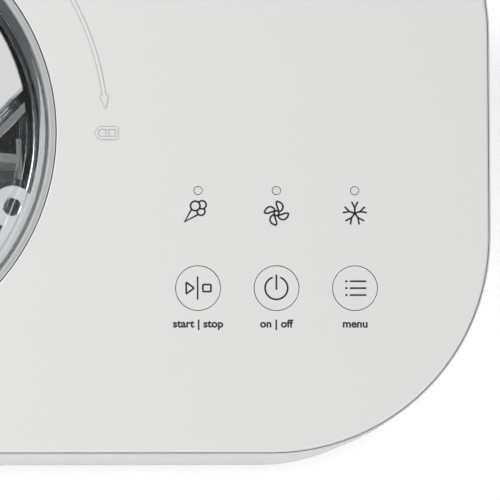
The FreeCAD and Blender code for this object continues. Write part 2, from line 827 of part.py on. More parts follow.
# ---- bowl, paddle and freezer can ----
def bowl():
    outer = cylinder(bowl_outer_radius, bowl_bottom, rim_level + bowl_wall, lid_centre)
    outer = outer.makeFillet(bowl_corner + bowl_wall, edges_at(outer, bowl_bottom))
    inner = cylinder(bowl_inner_radius, bowl_bottom + bowl_wall, rim_level + bowl_wall + 1, lid_centre)
    inner = inner.makeFillet(bowl_corner, edges_at(inner, bowl_bottom + bowl_wall))
    rim = tube(bowl_rim_radius, bowl_inner_radius, rim_level, rim_level + bowl_wall, lid_centre)
    column = cylinder(column_radius, bowl_bottom, column_top, lid_centre)
    bore = cylinder(column_radius - bowl_wall, bowl_bottom - 1, column_top + 1, lid_centre)
    return fused([outer.cut(inner), rim, column]).cut(bore)


def bowl_ear(turn):
    # a rounded lug with a hole, carried on by a narrow grip that lies along the rim
    low = rim_level + bowl_wall
    high = low + ear_thickness
    place = lid_centre + Vector(ear_centre_radius, 0, 0)
    outer_radius = bowl_rim_radius - ear_edge_gap
    lug = cylinder(ear_radius, low, high, place)
    lug = lug.common(cylinder(outer_radius, low - 1, high + 1, lid_centre))
    start = math.degrees(ear_radius / ear_centre_radius)
    grip = sector(outer_radius, bowl_inner_radius - paddle_wall_gap + grip_clearance, low, high,
                  -grip_angle, 0.8 * start)
    ear = fused([lug, grip])
    ear = ear.cut(cylinder(ear_hole_radius, low - 1, high + 1, place))
    return turned(ear, turn)


def mixing_paddle():
    floor = bowl_bottom + bowl_wall + paddle_floor_gap
    hub_inner = column_radius + paddle_hub_gap
    hub_outer = hub_inner + paddle_hub_wall
    top = paddle_cap_bottom + paddle_cap_height
    reach = bowl_inner_radius - paddle_wall_gap
    hub = cylinder(hub_outer, floor, top).cut(cylinder(hub_inner, floor - 1, paddle_cap_bottom))
    hub = hub.makeFillet(2.0, edges_at(hub, top))
    half = paddle_plate / 2
    blade_middle = reach - 1.4 * blade_thickness
    blade_top = rim_level - blade_drop
    arms = []
    for side in (0, 180):
        blade = block(blade_middle - blade_thickness / 2, blade_middle + blade_thickness / 2,
                      -blade_half_width, blade_half_width, floor, blade_top)
        blade.rotate(Vector(blade_middle, 0, 0), Vector(0, 0, 1), blade_twist)
        lower = block(hub_inner + 1, reach - bowl_corner, -half, half, floor, floor + 9)
        middle = block(hub_inner + 1, blade_middle, -half, half, floor + 42, floor + 49)
        upper = block(hub_inner + 1, blade_middle, -half, half, blade_top - 9, blade_top)
        arm = [lower, middle, upper, blade]
        if side:
            arm.append(block(45, 51, -half, half, floor, blade_top))
        arm = fused(arm)
        arm.rotate(Vector(0, 0, 0), Vector(0, 0, 1), side)
        arms.append(arm)
    hex_radius = (hex_flats / 2 + hex_clearance) / math.cos(math.radians(30))
    body = fused([hub] + arms)
    sweep = cylinder(reach, floor, rim_level)
    sweep = sweep.makeFillet(bowl_corner, edges_at(sweep, floor))
    body = body.common(sweep.fuse(cylinder(hub_outer, floor, top)))
    body = body.cut(hex_prism(hex_radius, paddle_cap_bottom - 1, shaft_top + rest_gap))
    body.rotate(Vector(0, 0, 0), Vector(0, 0, 1), paddle_turn)
    body.translate(lid_centre)
    return body


def hex_prism(radius, low, high):
    corners = [
        Vector(radius * math.cos(math.radians(60 * step)), radius * math.sin(math.radians(60 * step)), low)
        for step in range(7)
    ]
    return Part.Face(Part.makePolygon(corners)).extrude(Vector(0, 0, high - low))


def drive_shaft():
    round_part = cylinder(shaft_radius, gearbox_bottom + rest_gap, column_top - 6)
    end = hex_prism(hex_flats / 2 / math.cos(math.radians(30)), column_top - 6, shaft_top)
    shaft = round_part.fuse(end)
    shaft.rotate(Vector(0, 0, 0), Vector(0, 0, 1), paddle_turn)
    shaft.translate(lid_centre)
    return shaft


def freezer_can():
    outer = cylinder(can_outer_radius, can_bottom, rim_level, lid_centre)
    inner = cylinder(can_inner_radius, bowl_bottom, rim_level + 1, lid_centre)
    flange = tube(can_flange_radius, can_inner_radius, rim_level - can_wall, rim_level, lid_centre)
    centre_tube = cylinder(can_tube_radius, can_bottom, can_tube_top, lid_centre)
    bore = cylinder(can_tube_radius - can_tube_wall, can_bottom - 1, can_tube_top + 1, lid_centre)
    return fused([outer.cut(inner), flange, centre_tube]).cut(bore)


def coil_lead(side, level):
    # the straight end of the evaporator tube, leaving the coil along +X
    return cylinder_x(coil_lead_radius, lid_x, lid_x + coil_lead_length, side * coil_radius, level)


def evaporator_coil():
    # level turns joined one to the next by short risers, with a lead at the bottom and at the top
    pitch = (coil_top - coil_bottom) / (coil_turns - 1)
    pieces = [coil_lead(1, coil_bottom), coil_lead(-1, coil_top)]
    for turn in range(coil_turns):
        level = coil_bottom + pitch * turn
        pieces.append(Part.makeTorus(coil_radius, coil_tube_radius, Vector(lid_x, 0, level)))
        if turn < coil_turns - 1:
            riser = Vector(coil_radius * math.cos(math.pi * turn), 0, 0)
            pieces.append(cylinder(coil_lead_radius, level, level + pitch, lid_centre + riser))
    return fused(pieces)


def insulation():
    outer = cylinder(foam_outer_radius, foam_bottom, rim_level - can_wall, lid_centre)
    inner = cylinder(foam_inner_radius, can_bottom, rim_level, lid_centre)
    cuts = [inner, cylinder(can_tube_radius, foam_bottom - 1, can_bottom + 1, lid_centre)]
    for side, level in ((1, coil_bottom), (-1, coil_top)):
        cuts.append(cylinder_x(coil_tube_radius + 0.5, lid_x, lid_x + 200, side * coil_radius, level))
    return outer.cut(cuts)


def chassis():
    plate = cylinder(chassis_radius, chassis_bottom, foam_bottom, lid_centre)
    posts = [cylinder(chassis_post_radius, pan_top, chassis_bottom, place) for place in chassis_posts_at]
    pockets = [cylinder(chassis_post_radius - 2, pan_top - 1, pan_top + 6.2, place)
               for place in chassis_posts_at]
    hole = cylinder(can_tube_radius, chassis_bottom - 1, foam_bottom + 1, lid_centre)
    return fused([plate] + posts).cut([hole] + pockets)


def shaft_bush(low, outer):
    return tube(outer, shaft_radius + running_clearance, low, low + bush_length, lid_centre)


# ---- gearbox ----
output_tip_radius = output_module * (output_teeth / 2 + 1)
gearbox_half = output_tip_radius + 5.2
gearbox_left = lid_x - gearbox_half
gearbox_right = pinion_place.x + motor_radius + 6.0


def gearbox_outline(inset, low, high):
    # a rounded box around the three gear axes
    left = gearbox_left + inset
    right = gearbox_right - inset
    half = gearbox_half - inset
    box = block(left, right, -half, half, low, high)
    upright = [edge for edge in box.Edges if edge.BoundBox.ZLength > high - low - 1e-6]
    return box.makeFillet(12 - inset, upright)


gearbox_screws_at = [
    Vector(x, y, 0)
    for x in (gearbox_left + 5.6, gearbox_right - 5.6)
    for y in (5.6 - gearbox_half, gearbox_half - 5.6)
]
motor_screws_at = [pinion_place + Vector(side * 14.5, 0, 0) for side in (-1, 1)]
low_gear_bottom = gearbox_bottom + gear_level_low - 3
high_gear_bottom = gearbox_bottom + gear_level_high - 3


def gearbox_case():
    case = gearbox_outline(0, gearbox_bottom, gearbox_top)
    case = case.cut(gearbox_outline(gearbox_wall, gearbox_bottom - 1, gearbox_top - gearbox_wall))
    posts = [cylinder(4.2, gearbox_bottom, gearbox_top - 1, place) for place in gearbox_screws_at]
    posts = [post.common(gearbox_outline(0.2, gearbox_bottom, gearbox_top)) for post in posts]
    case = fused([case] + posts)
    cuts = [cylinder(screw_radius, gearbox_bottom - 1, gearbox_bottom + 12.2, place)
            for place in gearbox_screws_at]
    cuts.append(cylinder(can_tube_radius, gearbox_bottom, gearbox_top + 1, lid_centre))
    cuts.append(cylinder(axle_radius, gearbox_bottom, gearbox_top + 1, axle_place))
    return case.cut(cuts)


def gearbox_base():
    plate = gearbox_outline(0, gearbox_base_bottom, gearbox_bottom)
    bush_seat = cylinder(bush_radius + 2.5, gearbox_bottom, gearbox_bottom + bush_length, lid_centre)
    axle_seat = cylinder(axle_radius + 2.5, gearbox_bottom, low_gear_bottom - rest_gap, axle_place)
    body = fused([plate, bush_seat, axle_seat])
    cuts = [
        cylinder(bush_radius, gearbox_bottom, gearbox_bottom + bush_length + 1, lid_centre),
        cylinder(axle_radius, gearbox_base_bottom - 1, gearbox_bottom + 20, axle_place),
        cylinder(9.0, gearbox_base_bottom - 1, gearbox_bottom + 1, pinion_place),
    ]
    cuts += [cylinder(screw_radius, gearbox_base_bottom - 1, gearbox_bottom + 1, place)
             for place in gearbox_screws_at + motor_screws_at]
    return body.cut(cuts)


def output_gear():
    return gear(output_teeth, output_module, shaft_radius,
                high_gear_bottom, high_gear_bottom + output_width, lid_centre, 0.0)


def intermediate_gear():
    # the small wheel has a tooth gap where the output gear has a tooth
    small = gear(small_teeth, output_module, axle_radius + running_clearance, low_gear_bottom + large_width,
                 high_gear_bottom + output_width + 0.5, axle_place, 180.0 + 180.0 / small_teeth)
    large = gear(large_teeth, motor_module, axle_radius + running_clearance, low_gear_bottom,
                 low_gear_bottom + large_width, axle_place, pinion_turn)
    return fused([large, small])


def motor_pinion():
    return gear(pinion_teeth, motor_module, motor_shaft_radius, low_gear_bottom - 1,
                low_gear_bottom + large_width + 1, pinion_place, pinion_turn + 180.0 + 180.0 / pinion_teeth)


def gear_axle():
    return cylinder(axle_radius, gearbox_base_bottom, gearbox_top, axle_place)


def motor_shaft():
    return cylinder(motor_shaft_radius, gearbox_base_bottom - 20, low_gear_bottom + large_width + 1,
                    pinion_place)


def drive_motor():
    top = gearbox_base_bottom
    body = cylinder(motor_radius, top - motor_height, top, pinion_place)
    body = body.makeFillet(2.5, edges_at(body, top - motor_height))
    tail = cylinder(8.0, top - motor_height - 4, top - motor_height + 1, pinion_place)
    cuts = [cylinder(motor_shaft_radius + running_clearance, top - 20 - rest_gap, top + 1, pinion_place)]
    cuts += [cylinder(screw_radius, top - 8.2, top + 1, place) for place in motor_screws_at]
    for step in range(6):
        slot = block(motor_radius - 2, motor_radius + 2, -2, 2, top - motor_height + 10, top - 14)
        slot.rotate(Vector(0, 0, 0), Vector(0, 0, 1), 60 * step + 30)
        slot.translate(Vector(pinion_place.x, pinion_place.y, 0))
        cuts.append(slot)
    return fused([body, tail]).cut(cuts)


# ---- refrigeration ----
suction_stub = compressor_place + Vector(-stub_spread, 0, 0)
discharge_stub = compressor_place + Vector(stub_spread, 0, 0)


def compressor():
    can = cylinder(compressor_radius, compressor_bottom + 3, compressor_top, compressor_place)
    ends = edges_at(can, compressor_top) + edges_at(can, compressor_bottom + 3)
    can = can.makeFillet(compressor_dome, ends)
    bead = cylinder(compressor_radius + 1.2, compressor_bottom + 60, compressor_bottom + 64,
                    compressor_place)
    plate = block(compressor_x - compressor_radius - 3, compressor_x + compressor_radius + 3,
                  compressor_y - compressor_radius + 2, compressor_y + compressor_radius - 2,
                  compressor_bottom, compressor_bottom + 3.5)
    upright = [edge for edge in plate.Edges if edge.BoundBox.ZLength > 3.4]
    plate = plate.makeFillet(9, upright)
    stubs = [cylinder(pipe_radius + 1.5, compressor_top - 3, stub_top, place)
             for place in (suction_stub, discharge_stub)]
    hollow = cylinder(compressor_radius - compressor_shell, compressor_bottom + 3 + compressor_shell,
                      compressor_top - compressor_shell, compressor_place)
    hollow = hollow.makeFillet(compressor_dome - compressor_shell, [
        edge for edge in hollow.Edges if edge.BoundBox.ZLength < 1e-6])
    bolts = [cylinder(screw_radius + 0.1, compressor_bottom - 1, compressor_bottom + 5, place)
             for place in compressor_feet_at]
    return fused([can, bead, plate] + stubs).cut([hollow] + bolts)


def compressor_pump():
    # the motor and pump, sealed in the shell on its three internal seats
    low = compressor_bottom + 3 + compressor_shell
    body = cylinder(36.0, low + 12, low + 78, compressor_place)
    body = body.makeFillet(5.0, edges_at(body, low + 78))
    seats = [cylinder(4.0, low, low + 13, compressor_place + Vector(x, y, 0))
             for x, y in ((18, 0), (-9, 15.6), (-9, -15.6))]
    return fused([body] + seats)


def terminal_cover():
    far = compressor_y - compressor_radius - 14
    box = block(compressor_x - 16, compressor_x + 16, far, compressor_y - compressor_radius + 8,
                compressor_bottom + 20, compressor_bottom + 54)
    box = box.makeFillet(3, [edge for edge in box.Edges if edge.BoundBox.YMax < far + 1e-6])
    return box.cut(cylinder(compressor_radius + 0.1, compressor_bottom, compressor_top, compressor_place))


def compressor_grommet(place):
    outer = tube(8.0, screw_radius + 0.1, pan_top, compressor_bottom, place)
    waist = tube(20.0, 6.0, pan_top + 4, pan_top + 6, place)
    return outer.cut(waist)


condenser_front = condenser_y - condenser_half_width
condenser_rear = condenser_y + condenser_half_width
row_levels = [condenser_bottom + 10 + condenser_row_pitch * step for step in range(condenser_rows)]
fins_bottom = condenser_bottom
fins_top = row_levels[-1] + 10
bend_radius = condenser_row_pitch / 2
tube_front = condenser_front - 4
tube_rear = condenser_rear + 4


def condenser_fins():
    left = condenser_x - condenser_thickness / 2
    right = condenser_x + condenser_thickness / 2
    pitch = (2 * condenser_half_width - fin_thickness) / (fin_count - 1)
    plates = []
    for step in range(fin_count):
        y = condenser_front + pitch * step
        plates.append(block(left, right, y, y + fin_thickness, fins_bottom, fins_top))
    for low in (fins_bottom, fins_top - 1.2):
        plates.append(block(left, right, condenser_front, condenser_rear, low, low + 1.2))
    body = fused(plates)
    holes = [
        Part.makeCylinder(pipe_radius + running_clearance, 2 * condenser_half_width + 4,
                          Vector(condenser_x, condenser_front - 2, level), Vector(0, 1, 0))
        for level in row_levels
    ]
    return body.cut(holes)


def condenser_tube():
    # one tube that goes back and forth from the top row at the front to the bottom row at the rear
    edges = []
    levels = row_levels[::-1]
    for step, level in enumerate(levels):
        start, end = (tube_front, tube_rear) if step % 2 == 0 else (tube_rear, tube_front)
        edges.append(Part.LineSegment(Vector(condenser_x, start, level),
                                      Vector(condenser_x, end, level)).toShape())
        if step < condenser_rows - 1:
            outwards = bend_radius if end == tube_rear else -bend_radius
            edges.append(Part.Arc(
                Vector(condenser_x, end, level),
                Vector(condenser_x, end + outwards, level - bend_radius),
                Vector(condenser_x, end, level - condenser_row_pitch),
            ).toShape())
    section = Part.Wire([Part.makeCircle(pipe_radius, Vector(condenser_x, tube_front, levels[0]),
                                         Vector(0, 1, 0))])
    return Part.Wire(edges).makePipeShell([section], True, False)


shroud_right = condenser_x - condenser_thickness / 2 - rest_gap
shroud_left = shroud_right - shroud_depth
fan_left = shroud_left + 6.0
motor_right = shroud_left + 3.0
motor_left = motor_right - fan_motor_length


def fan_shroud():
    outer = block(shroud_left, shroud_right, condenser_front + 2, condenser_rear - 2, fins_bottom, fins_top)
    bore = cylinder_x(fan_radius + fan_tip_gap, shroud_left + shroud_wall, shroud_right + 1, condenser_y,
                      fan_level)
    mouth = cylinder_x(fan_radius, shroud_left - 1, shroud_right, condenser_y, fan_level)
    body = outer.cut([bore, mouth])
    hub = cylinder_x(fan_motor_radius + 3, shroud_left, motor_right, condenser_y, fan_level)
    spokes = []
    for step in range(3):
        spoke = block(shroud_left, motor_right,
                      condenser_y + fan_motor_radius + 1, condenser_y + fan_radius + 2,
                      fan_level - 3, fan_level + 3)
        spoke.rotate(Vector(0, condenser_y, fan_level), Vector(1, 0, 0), 120 * step + 90)
        spokes.append(spoke)
    body = fused([body, hub] + spokes)
    return body.cut(cylinder_x(fan_motor_radius, shroud_left - 1, shroud_right, condenser_y, fan_level))


def fan_motor():
    body = cylinder_x(fan_motor_radius, motor_left, motor_right, condenser_y, fan_level)
    body = body.makeFillet(1.5, [edge for edge in body.Edges if edge.BoundBox.XMax < motor_left + 1e-6])
    bore = cylinder_x(fan_shaft_radius + running_clearance, motor_left + 5, motor_right + 1, condenser_y,
                      fan_level)
    return body.cut(bore)


def fan_shaft():
    return cylinder_x(fan_shaft_radius, motor_left + 5 + rest_gap, fan_left + fan_depth - 1, condenser_y,
                      fan_level)


def condenser_fan():
    hub = cylinder_x(fan_hub_radius, fan_left, fan_left + fan_depth, condenser_y, fan_level)
    nose = [edge for edge in hub.Edges if edge.BoundBox.XMin > fan_left + fan_depth - 1e-6]
    hub = hub.makeFillet(2.0, nose)
    blades = []
    for step in range(fan_blades):
        blade = block(-0.8, 0.8, fan_hub_radius - 2, fan_radius, -11, 11)
        blade.rotate(Vector(0, 0, 0), Vector(0, 1, 0), 55)
        blade.translate(Vector(fan_left + fan_depth / 2, condenser_y, fan_level))
        blade.rotate(Vector(0, condenser_y, fan_level), Vector(1, 0, 0), 360 / fan_blades * step)
        blades.append(blade)
    body = fused([hub] + blades)
    swept = cylinder_x(fan_radius, fan_left - 1.2, fan_left + fan_depth + 1.2, condenser_y, fan_level)
    body = body.common(swept)
    return body.cut(cylinder_x(fan_shaft_radius, fan_left - 2, fan_left + fan_depth - 1, condenser_y,
                               fan_level))


inlet_level = fins_top + 24
drier_y = body_depth / 2 - 32
drier_left = compressor_x - drier_length / 2 - 12
drier_level = compressor_top + 2
drier_right = drier_left + drier_length


def discharge_pipe():
    turn_y = tube_front - 20
    return pipe([
        Vector(discharge_stub.x, discharge_stub.y, stub_top),
        Vector(discharge_stub.x, discharge_stub.y, inlet_level),
        Vector(condenser_x - 34, turn_y, inlet_level),
        Vector(condenser_x, turn_y, inlet_level),
        Vector(condenser_x, turn_y, row_levels[-1]),
        Vector(condenser_x, tube_front, row_levels[-1]),
    ], pipe_radius, pipe_bend)


def liquid_pipe():
    turn_y = tube_rear + 22
    return pipe([
        Vector(condenser_x, tube_rear, row_levels[0]),
        Vector(condenser_x, turn_y, row_levels[0]),
        Vector(condenser_x, turn_y, drier_level),
        Vector(drier_right + 30, drier_y, drier_level),
        Vector(drier_right + 8, drier_y, drier_level),
    ], pipe_radius, pipe_bend)


def suction_pipe():
    start = lid_x + coil_lead_length
    return pipe([
        Vector(start, -coil_radius, coil_top),
        Vector(start + 42, -coil_radius, coil_top),
        Vector(suction_stub.x - 4, suction_stub.y - 88, coil_top - 38),
        Vector(suction_stub.x, suction_stub.y, coil_top - 38),
        Vector(suction_stub.x, suction_stub.y, stub_top),
    ], pipe_radius, pipe_bend)


def filter_drier():
    body = cylinder_x(drier_radius, drier_left, drier_right, drier_y, drier_level)
    body = body.makeFillet(3.0, [edge for edge in body.Edges if edge.BoundBox.XLength < 1e-6])
    inlet = cylinder_x(pipe_radius + 1, drier_right - 4, drier_right + 8, drier_y, drier_level)
    outlet = cylinder_x(capillary_radius + 1, drier_left - 8, drier_left + 4, drier_y, drier_level)
    return fused([body, inlet, outlet])


def capillary_tube():
    end = lid_x + coil_lead_length
    return pipe([
        Vector(drier_left - 8, drier_y, drier_level),
        Vector(drier_left - 20, drier_y, drier_level),
        Vector(end + 14, coil_radius, coil_bottom),
        Vector(end, coil_radius, coil_bottom),
    ], capillary_radius, 6.0)


def drier_clip():
    # a spring clip that holds the drier on a post from the pan
    post = block(compressor_x - 20, compressor_x - 12, drier_y - 3, drier_y + 3, pan_top, drier_level)
    ring = cylinder_x(drier_radius + 1.6, compressor_x - 20, compressor_x - 12, drier_y, drier_level)
    bore = cylinder_x(drier_radius + running_clearance, compressor_x - 21, compressor_x - 11, drier_y,
                      drier_level)
    mouth = block(compressor_x - 21, compressor_x - 11, drier_y - 5, drier_y + 5, drier_level + 4,
                  drier_level + 30)
    return post.fuse(ring).removeSplitter().cut([bore, mouth])


# ---- controls ----
def push_button(x):
    # a flush cap, a flange that keeps it under the panel, and a stem over its switch
    place = Vector(x, button_y, 0)
    cap = cylinder(button_radius, panel_top - button_cap_height, panel_top, place)
    cap = cap.makeFillet(button_edge_radius, edges_at(cap, panel_top))
    flange = cylinder(button_radius + 1.4, plate_bottom - 2.1, plate_bottom - 0.5, place)
    neck = cylinder(button_radius - 1.2, plate_bottom - 1.0, panel_top - button_cap_height + 0.5, place)
    stem = cylinder(2.6, board_top + 4.4 + button_travel + rest_gap, plate_bottom - 1.5, place)
    return fused([cap, neck, flange, stem])


def light_pipe(x):
    place = Vector(x, lamp_y, 0)
    rod = cylinder(lamp_radius, board_top + 2.6, panel_top, place)
    collar = cylinder(lamp_radius + 1.5, plate_bottom - 1.5, plate_bottom, place)
    return fused([rod, collar])


def switch(x):
    base = block(x - 3, x + 3, button_y - 3, button_y + 3, board_top, board_top + 3.6)
    return fused([base, cylinder(1.7, board_top + 3.0, board_top + 4.4, Vector(x, button_y, 0))])


def lamp(x):
    body = block(x - 1.5, x + 1.5, lamp_y - 1.5, lamp_y + 1.5, board_top, board_top + 1.7)
    return body.makeFillet(0.3, edges_at(body, board_top + 1.7))


def control_board():
    board = block(board_x_low, board_x_high, board_y_low, board_y_high, board_level, board_top)
    chip_x = (board_x_low + board_x_high) / 2
    chip_y = (button_y + lamp_y) / 2
    chip = block(chip_x - 7, chip_x + 7, chip_y - 7, chip_y + 7, board_level - 1.6, board_level)
    plug = block(board_x_low + 14, board_x_low + 34, board_y_low + 4, board_y_low + 12, board_level - 8,
                 board_level)
    holes = [cylinder(screw_radius + 0.1, board_level - 1, board_top + 1, place)
             for place in board_screws_at]
    return fused([board, chip, plug]).cut(holes)


def power_board():
    low = power_board_low
    high = low + power_board_size
    board = block(low.x, high.x, low.y, high.y, low.z, high.z)
    coil_box = block(low.x + 12, low.x + 40, low.y + 10, low.y + 36, high.z, high.z + 22)
    relays = [block(low.x + 48 + 18 * step, low.x + 62 + 18 * step, low.y + 24, low.y + 42,
                    high.z, high.z + 15)
              for step in range(2)]
    capacitor = cylinder(7.0, high.z, high.z + 24, Vector(low.x + 56, low.y + 12, 0))
    strip = block(low.x + 68, low.x + 86, low.y + 4, low.y + 14, high.z, high.z + 11)
    holes = [cylinder(screw_radius + 0.1, low.z - 1, high.z + 1, place) for place in power_posts_at]
    return fused([board, coil_box, capacitor, strip] + relays).cut(holes)


def group(shapes):
    return Part.makeCompound(shapes)


os.makedirs("parts", exist_ok=True)

write("top_plate", top_plate())
write("upper_housing", upper_housing())
write("lower_housing", lower_housing())
write("base_pan", base_pan())
write("rubber_feet", group([rubber_foot(place) for place in feet_at]))
write("case_screws", group([screw(place, foot_height, 18) for place in case_screws_at]))
write("power_inlet", power_inlet())

write("trim_ring", trim_ring())
write("trim_ring_screws", group([
    screw(place, plate_bottom - ring_flange_thickness, ring_flange_thickness + 2)
    for place in ring_screws_at]))
write("lid_seal", lid_seal())
write("lid_base", lid_base())
write("lid_cover", lid_cover())
write("filler_hatch", filler_hatch())
write("hatch_pin", hatch_pin())

write("bowl", bowl())
write("bowl_ears", group([bowl_ear(ear_turn), bowl_ear(ear_turn + 180)]))
write("mixing_paddle", mixing_paddle())
write("freezer_can", freezer_can())
write("evaporator_coil", evaporator_coil())
write("insulation", insulation())
write("chassis", chassis())

write("drive_shaft", drive_shaft())
write("shaft_bushes", group([
    shaft_bush(gearbox_bottom, bush_radius),
    shaft_bush(can_tube_top - bush_length, can_tube_radius - can_tube_wall)]))
write("shaft_seal", tube(can_tube_radius - can_tube_wall, shaft_radius + 2 * running_clearance,
                         can_tube_top - bush_length - 5, can_tube_top - bush_length, lid_centre))
write("output_gear", output_gear())
write("intermediate_gear", intermediate_gear())
write("gear_axle", gear_axle())
write("motor_pinion", motor_pinion())
write("motor_shaft", motor_shaft())
write("drive_motor", drive_motor())
write("gearbox_case", gearbox_case())
write("gearbox_base", gearbox_base())
write("gearbox_screws", group([screw(place, gearbox_base_bottom, 14) for place in gearbox_screws_at]))
write("motor_screws", group([screw(place, gearbox_bottom, 9, direction=-1) for place in motor_screws_at]))

write("compressor", compressor())
write("compressor_pump", compressor_pump())
write("terminal_cover", terminal_cover())
write("compressor_grommets", group([compressor_grommet(place) for place in compressor_feet_at]))
write("compressor_bolts", group([
    screw(place, compressor_bottom + 3.5, 14, direction=-1) for place in compressor_feet_at]))
write("condenser_fins", condenser_fins())
write("condenser_tube", condenser_tube())
write("fan_shroud", fan_shroud())
write("fan_motor", fan_motor())
write("fan_shaft", fan_shaft())
write("condenser_fan", condenser_fan())
write("discharge_pipe", discharge_pipe())
write("liquid_pipe", liquid_pipe())
write("suction_pipe", suction_pipe())
write("filter_drier", filter_drier())
write("drier_clip", drier_clip())
write("capillary_tube", capillary_tube())

for node, x in zip(("start_stop_button", "power_button", "menu_button"), button_xs):
    write(node, push_button(x))
write("light_pipes", group([light_pipe(x) for x in button_xs]))
write("button_switches", group([switch(x) for x in button_xs]))
write("status_lamps", group([lamp(x) for x in button_xs]))
write("control_board", control_board())
write("board_screws", group([
    screw(place, board_level, board_thickness + 7) for place in board_screws_at]))
write("power_board", power_board())
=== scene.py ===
import json
import math

import bmesh
import bpy
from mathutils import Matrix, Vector


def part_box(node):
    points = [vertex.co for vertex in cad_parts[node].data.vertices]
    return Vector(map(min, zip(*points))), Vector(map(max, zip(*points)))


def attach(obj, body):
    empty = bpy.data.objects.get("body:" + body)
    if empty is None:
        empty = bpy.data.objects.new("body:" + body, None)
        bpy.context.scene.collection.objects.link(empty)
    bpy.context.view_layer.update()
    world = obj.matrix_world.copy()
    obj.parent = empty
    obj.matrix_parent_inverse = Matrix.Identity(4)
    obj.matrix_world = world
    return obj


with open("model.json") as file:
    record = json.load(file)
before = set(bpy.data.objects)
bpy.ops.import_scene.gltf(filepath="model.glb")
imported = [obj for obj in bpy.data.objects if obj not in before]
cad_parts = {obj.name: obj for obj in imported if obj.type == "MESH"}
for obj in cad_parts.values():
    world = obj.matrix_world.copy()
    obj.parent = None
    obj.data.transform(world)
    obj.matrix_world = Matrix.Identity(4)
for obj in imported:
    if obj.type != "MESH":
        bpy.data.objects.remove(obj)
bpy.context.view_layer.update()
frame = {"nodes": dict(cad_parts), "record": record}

nodes = frame["nodes"]
mm = 0.001               # every length below is in metres
print("model loaded:", len(nodes), "nodes")


# camera
camera = {
    "place": (71.33 * mm, -168.74 * mm, 1714.8 * mm),
    "turn": (4.550, -1.497, -0.071),   # degrees about X, Y and Z, nearly straight down
    "lens": 243.4,
}


def makeCamera(values):
    data = bpy.data.cameras.new("camera")
    data.lens = values["lens"]
    data.sensor_width = 36
    data.clip_start = 0.05
    data.clip_end = 20
    made = bpy.data.objects.new("camera", data)
    made.location = values["place"]
    made.rotation_euler = [math.radians(angle) for angle in values["turn"]]
    bpy.context.scene.collection.objects.link(made)
    bpy.context.scene.camera = made


makeCamera(camera)
print("camera set")


# shader groups that several finishes share
def startGroup(name, inputs, outputs):
    tree = bpy.data.node_groups.new(name, "ShaderNodeTree")
    for title, kind, value in inputs:
        socket = tree.interface.new_socket(title, in_out="INPUT", socket_type=kind)
        socket.default_value = value
    for title, kind in outputs:
        tree.interface.new_socket(title, in_out="OUTPUT", socket_type=kind)
    return tree, tree.nodes.new("NodeGroupInput"), tree.nodes.new("NodeGroupOutput")


def addNode(tree, kind, values=None, **settings):
    node = tree.nodes.new(kind)
    for key, value in settings.items():
        setattr(node, key, value)
    for key, value in (values or {}).items():
        if isinstance(value, bpy.types.NodeSocket):
            tree.links.new(value, node.inputs[key])
        else:
            node.inputs[key].default_value = value
    return node


def calc(tree, operation, first, second=0.0, clamp=False):
    node = addNode(tree, "ShaderNodeMath", {0: first, 1: second}, operation=operation, use_clamp=clamp)
    return node.outputs[0]


def lengthOf(tree, first, second):
    squares = calc(tree, "ADD", calc(tree, "MULTIPLY", first, first), calc(tree, "MULTIPLY", second, second))
    return calc(tree, "SQRT", squares)


def blendColours(tree, factor, first, second):
    node = addNode(tree, "ShaderNodeMix", data_type="RGBA")
    for index, value in ((0, factor), (6, first), (7, second)):
        if isinstance(value, bpy.types.NodeSocket):
            tree.links.new(value, node.inputs[index])
        else:
            node.inputs[index].default_value = value
    return node.outputs[2]


def noiseIn(tree, vector, scale, detail=3.0, rough=0.5):
    return addNode(tree, "ShaderNodeTexNoise", {
        "Vector": vector, "Scale": scale, "Detail": detail, "Roughness": rough}).outputs["Fac"]


def makeMouldedSkin():
    # slow mottling, fine mould texture and faint flow lines of an injection-moulded part
    tree, start, end = startGroup("mouldedSkin", [
        ("Colour", "NodeSocketColor", (0.8, 0.8, 0.8, 1)),
        ("Mottled colour", "NodeSocketColor", (0.75, 0.75, 0.75, 1)),
        ("Mottle scale", "NodeSocketFloat", 12.0),
        ("Grain scale", "NodeSocketFloat", 2200.0),
        ("Roughness", "NodeSocketFloat", 0.4),
        ("Roughness spread", "NodeSocketFloat", 0.08),
    ], [("Colour", "NodeSocketColor"), ("Roughness", "NodeSocketFloat"), ("Height", "NodeSocketFloat")])
    place = addNode(tree, "ShaderNodeTexCoord").outputs["Object"]
    mottle = noiseIn(tree, place, start.outputs["Mottle scale"])
    grain = noiseIn(tree, place, start.outputs["Grain scale"], 2.0)
    flow = noiseIn(tree, place, 90.0, 1.0)
    colour = blendColours(tree, mottle, start.outputs["Colour"], start.outputs["Mottled colour"])
    centred = calc(tree, "SUBTRACT", mottle, 0.5)
    spread = calc(tree, "MULTIPLY", centred, start.outputs["Roughness spread"])
    rough = calc(tree, "ADD", start.outputs["Roughness"], spread, clamp=True)
    height = calc(tree, "ADD", calc(tree, "MULTIPLY", grain, 0.7), calc(tree, "MULTIPLY", flow, 0.3))
    tree.links.new(colour, end.inputs["Colour"])
    tree.links.new(rough, end.inputs["Roughness"])
    tree.links.new(height, end.inputs["Height"])
    return tree


